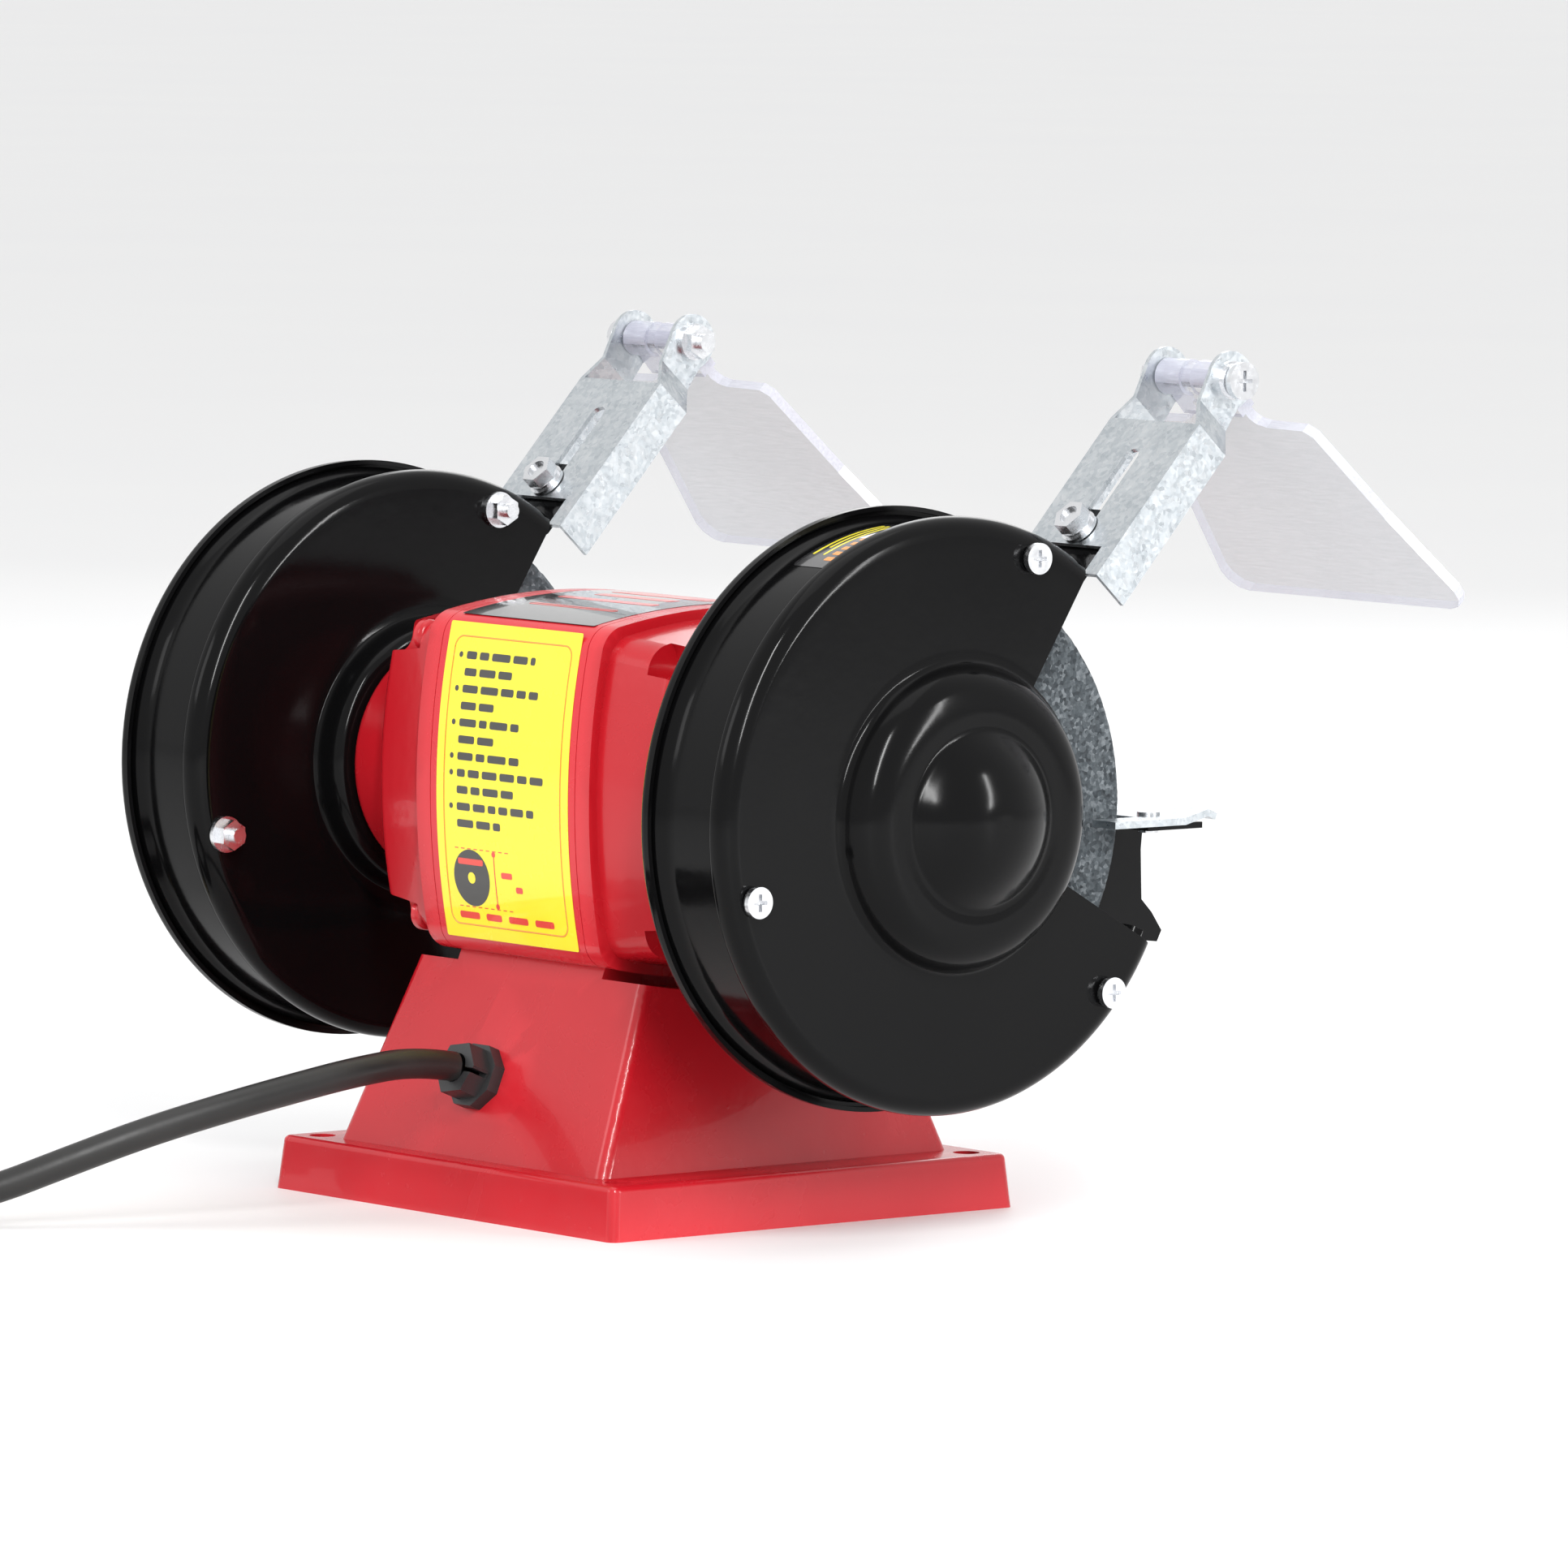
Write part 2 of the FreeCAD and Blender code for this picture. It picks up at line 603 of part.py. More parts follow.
CH = D("core_half_length")
turned("rotor_core", [(-CH - 5, 14.0), (-CH - 5, 22.0), (-CH, 22.0), (-CH, D("rotor_radius")), (CH, D("rotor_radius")),
                      (CH, 22.0), (CH + 5, 22.0), (CH + 5, 14.0), (CH, 14.0), (CH, D("shaft_core_radius")),
                      (-CH, D("shaft_core_radius")), (-CH, 14.0)], AXIS)
J, AR, SE, AS = D("journal_radius"), D("arbor_radius"), D("shaft_end"), D("arbor_shoulder")
BX, BW = D("bearing_x"), D("bearing_width")
inner = BX - BW / 2
turned("motor_shaft", [(-SE, 0), (-SE, AR - 1.0), (-SE + 1.0, AR), (-AS, AR), (-AS, J), (-inner, J), (-inner, D("shaft_core_radius")),
                       (inner, D("shaft_core_radius")), (inner, J), (AS, J), (AS, AR), (SE - 1.0, AR), (SE, AR - 1.0), (SE, 0)], AXIS)


def bearing(label, sg):
    h = BW / 2
    b = new_body(label, (BX * sg, 0, SH))
    s = new_sketch(b, "XZ_Plane")
    outline(s, [(-h, J + D("journal_play")), (-h, J + 3.0), (-h + 0.7, J + 3.3), (-h + 0.7, D("bearing_radius") - 3.2),
                (-h, D("bearing_radius") - 2.9), (-h, D("bearing_radius")), (h, D("bearing_radius")),
                (h, D("bearing_radius") - 2.9), (h - 0.7, D("bearing_radius") - 3.2), (h - 0.7, J + 3.3), (h, J + 3.0), (h, J + D("journal_play"))])
    revolve(b, s)
    return node(b, label)


bearing("left_bearing", -1)
bearing("right_bearing", 1)
# wave spring between the right bearing and its seat
turned("wave_washer", [(0, 13.0), (0, 17.3), (0.6, 17.3), (0.6, 13.0)], (dim(50.3), 0, SH))

# ------------------------------------------------------------------ wheels
W, WC, WR, BT = D("wheel_width"), D("wheel_centre"), D("wheel_radius"), D("blotter_thickness")
FR = D("flange_radius")
blots = []
for side, sg in (("left", -1), ("right", 1)):
    h = W / 2
    turned(side + "_grinding_wheel",
           [(-h, D("wheel_bore")), (-h, WR - 1.0), (-h + 1.0, WR), (h - 1.0, WR), (h, WR - 1.0), (h, D("wheel_bore"))],
           (WC * sg, 0, SH))
    for k, x in enumerate((WC - h - BT, WC + h)):
        bb = new_body("blotter_%d%d" % (sg + 1, k), ((x * sg if sg > 0 else -x - BT), 0, SH))
        s = new_sketch(bb, "XZ_Plane")
        outline(s, [(0, 7.0), (0, FR - 0.5), (BT, FR - 0.5), (BT, 7.0)])
        revolve(bb, s)
        blots.append(bb)
    # cupped clamp flanges: the rim bears on the blotter
    t = WC - h - BT - AS
    pts = [(0, AR + 0.03), (0, 15.0), (1.2, FR), (t, FR), (t, FR - 6.0), (t - 0.8, FR - 7.0), (t - 0.8, AR + 0.03)]
    if sg < 0:
        pts = [(-p[0] if bound(p[0]) else -dim(p[0]), p[1]) for p in pts]
    turned(side + "_inner_flange", pts, (AS * sg, 0, SH))
    x0 = WC + h + BT
    pts = [(3.6, AR + 0.03), (3.6, 15.0), (2.4, FR), (0, FR), (0, FR - 6.0), (0.8, FR - 7.0), (0.8, AR + 0.03)]
    if sg < 0:
        pts = [(-p[0], p[1]) for p in pts]
    turned(side + "_outer_flange", pts, (x0 * sg, 0, SH))
    nut = hexrod(side + "_nut_hex", 19.0, D("nut_height"), ((x0 + 3.6) * sg, 0, SH), (sg, 0, 0))
    hole = rod(side + "_nut_hole", AR + 0.03, 30.0, ((x0 - 5.0) * sg, 0, SH), (sg, 0, 0))
    node(cut(side + "_nut_cut", nut, hole), side + "_arbor_nut")
node(group("blotter_group", blots), "wheel_blotters")

# ------------------------------------------------------------------ guards
# Pressed-steel cups (drum and disc in one) closed by a flat back plate. The
# same pressing is used on both ends, so the right guard repeats the left one
# "guard_shift" further along the shaft.
T = D("sheet_metal")
GX, GS, GD = D("guard_face_x"), D("guard_shift"), D("guard_depth")
SCREW_ANGLES = (70.0, 195.0, -43.0)      # from the front towards the top


def skin(outer, thick):
    """Closed outline of a pressed sheet from its outer line, centre to rim."""
    pts = [(dim(p[0]), dim(p[1])) for p in outer]
    num = [(a.v, c.v) for a, c in pts]
    inner = []
    for i in range(len(num)):
        dirs = []
        if i > 0:
            dirs.append((num[i][0] - num[i - 1][0], num[i][1] - num[i - 1][1]))
        if i < len(num) - 1:
            dirs.append((num[i + 1][0] - num[i][0], num[i + 1][1] - num[i][1]))
        ns = [(d[1] / math.hypot(*d), -d[0] / math.hypot(*d)) for d in dirs]
        nx, nr = sum(k[0] for k in ns) / len(ns), sum(k[1] for k in ns) / len(ns)
        q = nx * nx + nr * nr
        nx, nr = nx / q, nr / q
        if i == 0 and num[0][1] < 1e-6:
            nx, nr = 1.0, 0.0
        elif i == 0:
            nr = 0.0
        inner.append((pts[i][0] + thick * nx, pts[i][1] + thick * nr if nr else pts[i][1]))
    return pts + inner[::-1]


def bow(x0, r0, x1, r1, bulge, n=4):
    """Points of a shallow arc between two points, bulging to its left."""
    out = []
    dx, dr = x1 - x0, r1 - r0
    for k in range(1, n):
        u = k / n
        h = 4 * bulge * u * (1 - u)
        out.append((x0 + dx * u - dr / math.hypot(dx, dr) * h, r0 + dr * u + dx / math.hypot(dx, dr) * h))
    return out


DR, GR = D("drum_radius"), D("guard_radius")
drum_line = [(dim(0), GR - 5.0)] + [(dim(5.0 * (1 - math.cos(math.radians(a)))), GR - 5.0 + 5.0 * math.sin(math.radians(a)))
                                    for a in (22.5, 45.0, 67.5)] + \
            [(dim(5.0), GR), (dim(6.4), GR), (dim(7.6), DR), (dim(25.0), DR), (dim(28.5), D("rim_radius") - 0.7), (GD - 1.0, D("rim_radius")), (GD, D("rim_radius"))]
HH, HR, DH, DRAD = D("hub_height"), D("hub_radius"), D("dome_height"), D("dome_radius")
dome_line = [(-DH, dim(0))] + [(dim(a), dim(c)) for a, c in bow(-18.7, 0.0, -11.2, 20.6, 2.3, 6)] + \
            [(-HH - 1.4, DRAD - 0.6), (-HH + 0.3, DRAD + 1.2), (-HH, dim(25.5)), (-HH, dim(29.5)), (-HH + 0.9, dim(33.2)),
             (-HH + 3.4, dim(36.6)), (-HH + 7.0, HR - 0.6), (dim(-0.6), HR + 0.6), (dim(0), HR + 2.0)]
seat_line = [(-HH, dim(12.0)), (-HH, dim(33.5)), (-HH + 0.8, dim(35.3)), (-HH + 2.8, dim(36.2)), (dim(-1.0), dim(37.2)), (dim(0), dim(38.4))]


def sector(name, upper_shift, lower, x0, x1):
    """Cutter for the working opening at the front; the hub inside the inner arc stays."""
    ux, uz = 24.2 + 0.848 * upper_shift, 31.8 - 0.530 * upper_shift
    vx, vz = 59.9 + 0.848 * upper_shift, 88.9 - 0.530 * upper_shift
    pts = [(ux, uz), (vx, vz), (140.0, vz)] + lower
    h = VALUE["shaft_height"]
    e = extrusion(name + "_sector", [(x0, -p[0], h + p[1]) for p in pts], Vec(1, 0, 0), x1 - x0, None)
    return cut(name, e, rod(name + "_hub", 40.5, x1 - x0 + 2, (x0 - 1, 0, SH), (1, 0, 0)))


FACE_LOWER = [(140.0, -77.7), (37.1, -19.4), (15.0, -5.0)]
DRUM_LOWER = [(140.0, -74.2), (38.8, -16.4), (15.0, -5.0)]
BACK_LOWER = [(140.0, -9.0), (15.0, -9.0)]
# bracket frame: its web rises forward from this point at WEB degrees
WEB = math.degrees(math.atan2(0.739, 0.674))
FOOT = (-44.5, 169.0)


def local(obj, cx):
    """Place a piece drawn in the bracket's own frame (x, along the web, forward of it)."""
    obj.Placement = Plc(Vec(dim(cx).v, FOOT[0], FOOT[1]), Rot(Vec(1, 0, 0), 180.0 - WEB))
    if bound(cx):
        obj.setExpression("Placement.Base.x", cx.e)
    return obj


def side_plate(name, pts, x0, x1, cx):
    return local(extrusion(name, [(x0, p[0], p[1]) for p in pts], Vec(1, 0, 0), x1 - x0, None), cx)


def guard_holes(name, x0, x1):
    tools = []
    for k, a in enumerate(SCREW_ANGLES):
        y, z = -69.0 * math.cos(math.radians(a)), 109.0 + 69.0 * math.sin(math.radians(a))
        tools.append(rod("%s_%d" % (name, k), 2.15, x1 - x0, (x0, y, z), (1, 0, 0)))
    return tools


def seat_holes(name, x):
    tools = []
    for k in range(3):
        t = math.radians(90 + 120 * k)
        tools.append(rod("%s_%d" % (name, k), 2.2, 12.0, (x - 6.0, 25.0 * math.cos(t), 109.0 + 25.0 * math.sin(t)), (1, 0, 0)))
    return tools


def cup(label, base_x, bracket_x, line, seats):
    b = new_body(label, (base_x, 0, SH))
    s = new_sketch(b, "XZ_Plane")
    outline(s, skin(line + drum_line, T))
    revolve(b, s)
    x0 = base_x.v
    face = sector(label + "_face_cut", 0.0, FACE_LOWER, x0 - 25.0, x0 + 6.5)
    drum = sector(label + "_drum_cut", 1.4, DRUM_LOWER, x0 + 6.4, x0 + 40.0)
    tools = [face, drum] + guard_holes(label + "_hole", x0 - 5, x0 + 6)
    if seats:
        tools += seat_holes(label + "_seat", x0 - 9.0)
    shell = cut(label + "_cut", b, fuse(label + "_tools", tools))
    # welded tab that carries the eye-shield bracket
    tab = side_plate(label + "_tab", [(-3.0, -3.4), (-1.3, -3.4), (-1.3, 1.6), (22.0, 1.6), (22.0, 3.2), (-3.0, 3.2)], -10.0, 10.0, bracket_x)
    hole = local(rod(label + "_tab_hole", 2.3, 12.0), bracket_x)
    hole.Placement = hole.Placement.multiply(Plc(Vec(0, 14.0, -4.0), Rot()))
    return node(fuse(label + "_solid", [shell, cut(label + "_tab_cut", tab, hole)]), label)


LBX = D("bracket_left_x")
RBX = LBX + GS
cup("left_guard_cover", GX, LBX, dome_line, False)
cup("right_guard_back", GX + GS, RBX, seat_line, True)


def back_plate(label, base_x, domed):
    """Flat closing plate with a rolled edge; x runs away from the wheel."""
    b = new_body(label, (base_x, 0, SH))
    s = new_sketch(b, "XZ_Plane")
    BR = D("back_radius")
    edge = [(T, BR), (dim(-2.0), BR), (dim(-2.0), BR - 1.0), (dim(0), BR - 1.0)]
    if domed:
        hub = [(T - p[0], p[1]) for p in dome_line]
    else:
        hub = [(T - p[0] - 1.1, p[1]) for p in seat_line]
    line = hub
    pts = [(dim(p[0]), dim(p[1])) for p in line]
    inner = skin([(-p[0] if bound(p[0]) else -dim(p[0]), p[1]) for p in pts], T)[len(pts):]
    inner = [(-p[0], p[1]) for p in inner]
    if not domed:
        # the flat of the plate is level with the rim, the seat stands out to the motor boss
        pts = [(T + HH - 1.1, dim(12.0)), (T + HH - 1.1, dim(33.5)), (T + HH - 1.9, dim(35.3)), (T + HH - 3.9, dim(36.2)),
               (T + 1.0, dim(37.2)), (T, dim(38.4))]
        inner = [(dim(0), dim(37.2)), (dim(0.4), dim(36.3)), (HH - 5.0, dim(35.1)), (HH - 2.9, dim(34.4)), (HH - 1.1, dim(33.0)), (HH - 1.1, dim(12.0))]
    outline(s, pts + edge + inner)
    revolve(b, s)
    x0 = base_x.v
    tools = [sector(label + "_cut", 0.0, BACK_LOWER, x0 - 10.0, x0 + 40.0)] + guard_holes(label + "_hole", x0 - 4, x0 + 4)
    if not domed:
        tools += seat_holes(label + "_seat", x0 + 9.0)
    for k, (f, h) in enumerate(REST_BOLTS):
        tools.append(rod("%s_rest_%d" % (label, k), 2.6, 8.0, (x0 - 4.0, -f, h), (1, 0, 0)))
    return node(cut(label + "_solid", b, fuse(label + "_tools", tools)), label)


REST_BOLTS = ((68.5, 94.5), (66.0, 83.0))
back_plate("left_guard_back", GX + GD, False)
back_plate("right_guard_cover", GX + GS + GD, True)

# guard screws with their flanged nuts, and the screws into the motor bosses
screws, nuts, seats = [], [], []
for side, x_head, x_nut, sg in (("l", GX, GX + GD + T, 1), ("r", GX + GS + GD + T, GX + GS, -1)):
    for k, a in enumerate(SCREW_ANGLES):
        y, z = -69.0 * math.cos(math.radians(a)), 109.0 + 69.0 * math.sin(math.radians(a))
        screws.append(pan_screw("guard_screw_%s%d" % (side, k), (x_head, y, z), (sg, 0, 0), 4.0, 2.9, 2.0, 39.0))
        flange = rod("guard_nut_flange_%s%d" % (side, k), 4.8, 1.2, (x_nut, y, z), (sg, 0, 0))
        hexa = hexrod("guard_nut_hex_%s%d" % (side, k), 7.0, 4.4, (x_nut, y, z), (sg, 0, 0))
        hole = rod("guard_nut_hole_%s%d" % (side, k), 2.02, 12.0, (x_nut - 4.0 * sg, y, z), (sg, 0, 0))
        nuts.append(cut("guard_nut_%s%d" % (side, k), fuse("guard_nut_solid_%s%d" % (side, k), [flange, hexa]), hole))
for side, x, sg in (("l", -D("boss_end") - T, 1), ("r", D("boss_end") + T, -1)):
    for k in range(3):
        t = math.radians(90 + 120 * k)
        seats.append(pan_screw("seat_screw_%s%d" % (side, k), (x, 25.0 * math.cos(t), 109.0 + 25.0 * math.sin(t)), (sg, 0, 0), 3.9, 2.6, 1.9, 9.0))
node(group("guard_screw_group", screws), "guard_screws")
node(group("guard_nut_group", nuts), "guard_nuts")
node(group("seat_screw_group", seats), "guard_mount_screws")

# ----------------------------------------------------- eye-shield brackets
BWID, BS, BD, BL = D("bracket_width"), D("bracket_sheet"), D("bracket_depth"), D("bracket_web")
PA, PF = VALUE["pivot_along"], VALUE["pivot_front"]


def shield_bracket(label, cx):
    """Bent channel: slotted web, two side flanges whose ears are joggled in to the pivot."""
    hw, t, dp = VALUE["bracket_width"] / 2, VALUE["bracket_sheet"], VALUE["bracket_depth"]
    web = box(label + "_web", BWID, BL, BS)
    web.Placement = local(web, cx).Placement.multiply(Plc(Vec(-hw, 0, 0), Rot()))
    web.setExpression("Placement.Base.x", (dim(cx) - BWID / 2).e)
    sides = []
    for sg in (-1, 1):
        pts = [(hw, 0), (hw, 50.5), (hw - 4.25, 57.5), (hw - 4.25, 80), (hw - 5.45, 80), (hw - 5.45, 57.1), (hw - t, 50.1), (hw - t, 0)]
        sides.append(local(extrusion(label + "_path%d" % (sg + 1), [(sg * p[0], p[1], -6.0) for p in pts], Vec(0, 0, 1), 6.0 + dp, None), cx))
    outline_pts = [(0, 0), (0, dp), (51.0, dp), (55.0, 11.4), (60.5, 10.6), (65.0, 10.25), (68.2, 11.0), (75.7, 3.5), (68.2, -4.0), (63.0, -2.6), (57.0, -0.8), (50.6, 0)]
    shape = side_plate(label + "_outline", outline_pts, -30.0, 30.0, cx)
    ear = local(rod(label + "_ear", D("ear_radius"), 60.0), cx)
    ear.Placement = ear.Placement.multiply(Plc(Vec(-30.0, PA, PF), Rot(Vec(0, 1, 0), 90)))
    ear.setExpression("Placement.Base.x", (dim(cx) - 30.0).e)
    flanges = common(label + "_flanges", fuse(label + "_paths", sides), fuse(label + "_silhouette", [shape, ear]))
    solid = fuse(label + "_bent", [web, flanges])
    slot_a, slot_b = VALUE["slot_start"], VALUE["slot_stop"]
    tools = []
    for k, y in enumerate((slot_a, slot_b)):
        r = local(rod(label + "_slot_end%d" % k, D("slot_half_width"), 8.0), cx)
        r.Placement = r.Placement.multiply(Plc(Vec(0, y, -4.0), Rot()))
        tools.append(r)
    m = box(label + "_slot", D("slot_half_width") * 2, slot_b - slot_a, 8.0)
    m.Placement = local(m, cx).Placement.multiply(Plc(Vec(-VALUE["slot_half_width"], slot_a, -4.0), Rot()))
    m.setExpression("Placement.Base.x", (dim(cx) - D("slot_half_width")).e)
    n = box(label + "_notch", 24.0, 14.0, 8.0)
    n.Placement = local(n, cx).Placement.multiply(Plc(Vec(-12.0, -5.0, -4.0), Rot()))
    n.setExpression("Placement.Base.x", (dim(cx) - 12.0).e)
    p = local(rod(label + "_pivot_hole", D("pivot_screw_radius") + 0.1, 60.0), cx)
    p.Placement = p.Placement.multiply(Plc(Vec(-30.0, PA, PF), Rot(Vec(0, 1, 0), 90)))
    p.setExpression("Placement.Base.x", (dim(cx) - 30.0).e)
    return node(cut(label + "_solid", solid, fuse(label + "_tools", tools + [m, n, p])), label)


shield_bracket("left_shield_bracket", LBX)
shield_bracket("right_shield_bracket", RBX)

bolts, washers = [], []
for side, cx in (("l", LBX), ("r", RBX)):
    def at(o, z0):
        o.Placement = o.Placement.multiply(Plc(Vec(0, VALUE["clamp_along"], z0), Rot()))
        return o
    head = hexrod("clamp_head_" + side, 8.0, 3.6, (0, 0, 0), (0, 0, 1))
    at(local(head, cx), -5.9)
    shank = at(local(rod("clamp_shank_" + side, 2.2, 13.5), cx), -2.4)
    dish = at(local(rod("clamp_dish_" + side, 2.6, 1.4), cx), -6.3)
    bolts.append(cut("clamp_bolt_" + side, fuse("clamp_solid_" + side, [head, shank]), dish))
    nut = hexrod("clamp_nut_hex_" + side, 8.0, 4.0, (0, 0, 0), (0, 0, 1))
    at(local(nut, cx), 3.2)
    bore = at(local(rod("clamp_nut_bore_" + side, 2.22, 8.0), cx), 1.5)
    washers.append(cut("clamp_nut_" + side, nut, bore))
    for k, (r, z0, th) in enumerate(((5.0, -1.3, 1.0), (4.3, -2.3, 1.0))):
        w = at(local(rod("clamp_washer_%s%d" % (side, k), r, th), cx), z0)
        h = at(local(rod("clamp_washer_hole_%s%d" % (side, k), 2.3, 6.0), cx), z0 - 2.0)
        washers.append(cut("clamp_ring_%s%d" % (side, k), w, h))
node(group("clamp_bolt_group", bolts), "bracket_bolts")
node(group("clamp_nut_group", washers), "bracket_washers_and_nuts")

# ------------------------------------------------------------- eye shields
PIVOT_Y = -(44.5 + 0.674 * PA + 0.739 * PF)
PIVOT_Z = 169.0 + 0.739 * PA - 0.674 * PF
TILT = math.degrees(math.atan2(0.728, 0.685))


def eye_shield(label, cx):
    """Clear moulding: barrel on the pivot screw, short neck, flared plate."""
    half = [(11.4, 0.0), (11.4, 12.5), (13.0, 14.6), (16.0, 15.6), (29.5, 16.0), (32.0, 18.2), (38.0, 47.0), (45.2, 73.0),
            (44.8, 76.2), (42.6, 79.0), (39.0, 80.0)]
    pts = half + [(-x, y) for x, y in half[::-1]]
    t = VALUE["shield_thickness"]
    plate = extrusion(label + "_plate", [(x, y, -t / 2) for x, y in pts], Vec(0, 0, 1), D("shield_thickness"), None)
    frame = Plc(Vec(dim(cx).v, PIVOT_Y, PIVOT_Z), Rot(Vec(1, 0, 0), -(180.0 - TILT)))
    plate.Placement = frame
    plate.setExpression("Placement.Base.x", dim(cx).e)

    def lathe(name, r, x0, x1):
        o = rod(name, r, x1 - x0)
        o.Placement = frame.multiply(Plc(Vec(x0, 0, 0), Rot(Vec(0, 1, 0), 90)))
        return o
    bh = VALUE["barrel_half"]
    parts = [plate, lathe(label + "_barrel_a", D("barrel_radius"), -bh, -2.2), lathe(label + "_barrel_b", D("barrel_radius"), 2.2, bh),
             lathe(label + "_waist", 3.9, -2.3, 2.3)]
    rib = box(label + "_rib", 22.8, 9.0, 5.2)
    rib.Placement = frame.multiply(Plc(Vec(-11.4, 2.0, -2.6), Rot()))
    parts.append(rib)
    return node(cut(label + "_solid", fuse(label + "_moulding", parts), lathe(label + "_bore", D("barrel_bore"), -20, 20)), label)


eye_shield("left_eye_shield", LBX)
eye_shield("right_eye_shield", RBX)


def pivot_set(side, cx, sg):
    """Pivot screw with its washers (head at the sg side) and the nut opposite."""
    e = (cx.v, PIVOT_Y, PIVOT_Z)
    hx = VALUE["bracket_width"] / 2 - VALUE["ear_joggle"]
    d = (-sg, 0, 0)
    head_at = (cx + sg * (hx + 2.0), e[1], e[2])
    s = pan_screw(side + "_pivot", head_at, d, 4.9, 3.2, VALUE["pivot_screw_radius"], 2 * hx + 8.6)
    parts = [s]
    for k, (r, off) in enumerate(((5.0, 0.0), (4.4, 1.0))):
        w = rod("%s_pivot_washer_%d" % (side, k), r, 1.0, (cx + sg * (hx + off), e[1], e[2]), (sg, 0, 0))
        h = rod("%s_pivot_washer_hole_%d" % (side, k), 2.6, 6.0, (cx + sg * (hx + off - 2.0), e[1], e[2]), (sg, 0, 0))
        parts.append(cut("%s_pivot_ring_%d" % (side, k), w, h))
    node(group(side + "_pivot_group", parts), side + "_pivot_screw")
    flange = rod(side + "_pivot_nut_flange", 5.0, 1.4, (cx - sg * hx, e[1], e[2]), (-sg, 0, 0))
    hexa = hexrod(side + "_pivot_nut_hex", 8.0, 4.4, (cx - sg * hx, e[1], e[2]), (-sg, 0, 0))
    bore = rod(side + "_pivot_nut_bore", 2.52, 16.0, (cx - sg * (hx - 4.0), e[1], e[2]), (-sg, 0, 0))
    node(cut(side + "_pivot_nut_cut", fuse(side + "_pivot_nut_solid", [flange, hexa]), bore), side + "_pivot_nut")


pivot_set("left", LBX, -1)
pivot_set("right", RBX, 1)

# -------------------------------------------------------------- tool rests
RT, RS = VALUE["rest_plate_thickness"], VALUE["rest_bracket_sheet"]


def tool_rest(side, plate_x0, plate_x1, notch_x0, notch_x1, web_x, flange_x0, flange_x1, out):
    z = VALUE["rest_height"] - 0.4
    prof = [(52.0, z), (76.0, z), (83.6, z + 1.9), (86.0, z + 0.9), (86.6, z + 2.5), (83.6, z + 3.8), (75.8, z + RT), (52.0, z + RT)]
    plate = extrusion(side + "_rest_sheet", [(plate_x0, -f, h) for f, h in prof], Vec(1, 0, 0), plate_x1 - plate_x0, None)
    notch = box(side + "_rest_notch", notch_x1 - notch_x0, 30.0, 20.0, (notch_x0, -D("rest_gap"), 95.0))
    ends = [rod("%s_rest_hole_%d" % (side, k), 1.6, 9.0, ((flange_x0 + flange_x1) / 2 + dx, -72.5, z - 3.0), (0, 0, 1)) for k, dx in enumerate((-9.0, 9.0))]
    node(cut(side + "_rest_plate_solid", plate, fuse(side + "_rest_plate_tools", [notch] + ends)), side + "_rest_plate")
    web = [(50.0, z - RS), (89.6, z - RS), (90.6, 100.5), (90.0, 94.0), (90.5, 81.0), (94.0, 77.5), (97.5, 72.6), (96.0, 69.7), (84.0, 71.0), (70.0, 75.5), (50.0, 78.0)]
    side_web = extrusion(side + "_rest_web", [(web_x, -f, h) for f, h in web], Vec(1, 0, 0), RS, None)
    top = box(side + "_rest_top", flange_x1 - flange_x0, 18.5, RS, (flange_x0, -86.0, z - RS))
    tools = []
    for k, (f, h) in enumerate(REST_BOLTS):
        for j, df in enumerate((-10.6, 2.1)):
            tools.append(rod("%s_rest_slot_%d%d" % (side, k, j), 2.9, 8.0, (web_x - 3.0, -(f + df), h), (1, 0, 0)))
        tools.append(box("%s_rest_slot_box_%d" % (side, k), 8.0, 12.7, 5.8, (web_x - 3.0, -(f + 2.1), h - 2.9)))
    for k, dx in enumerate((-9.0, 9.0)):
        tools.append(rod("%s_rest_rivet_hole_%d" % (side, k), 1.6, 6.0, ((flange_x0 + flange_x1) / 2 + dx, -72.5, z - 4.0), (0, 0, 1)))
    node(cut(side + "_rest_bracket_solid", fuse(side + "_rest_bent", [side_web, top]), fuse(side + "_rest_tools", tools)), side + "_rest_bracket")
    rivets = []
    for k, dx in enumerate((-9.0, 9.0)):
        x = (flange_x0 + flange_x1) / 2 + dx
        a = rod("%s_rivet_shank_%d" % (side, k), 1.58, 4.6, (x, -72.5, z - RS - 0.5), (0, 0, 1))
        h = rod("%s_rivet_head_%d" % (side, k), 3.0, 1.0, (x, -72.5, z + RT), (0, 0, 1))
        t = rod("%s_rivet_tail_%d" % (side, k), 2.6, 0.9, (x, -72.5, z - RS - 0.9), (0, 0, 1))
        rivets.append(fuse("%s_rivet_%d" % (side, k), [a, h, t]))
    node(group(side + "_rivet_group", rivets), side + "_rest_rivets")


tool_rest("left", -126.0, -88.0, -117.0, -96.0, -92.6, -121.0, -91.5, 1)
tool_rest("right", 90.5, 131.0, 95.5, 116.9, 126.9, 98.0, 128.0, 1)

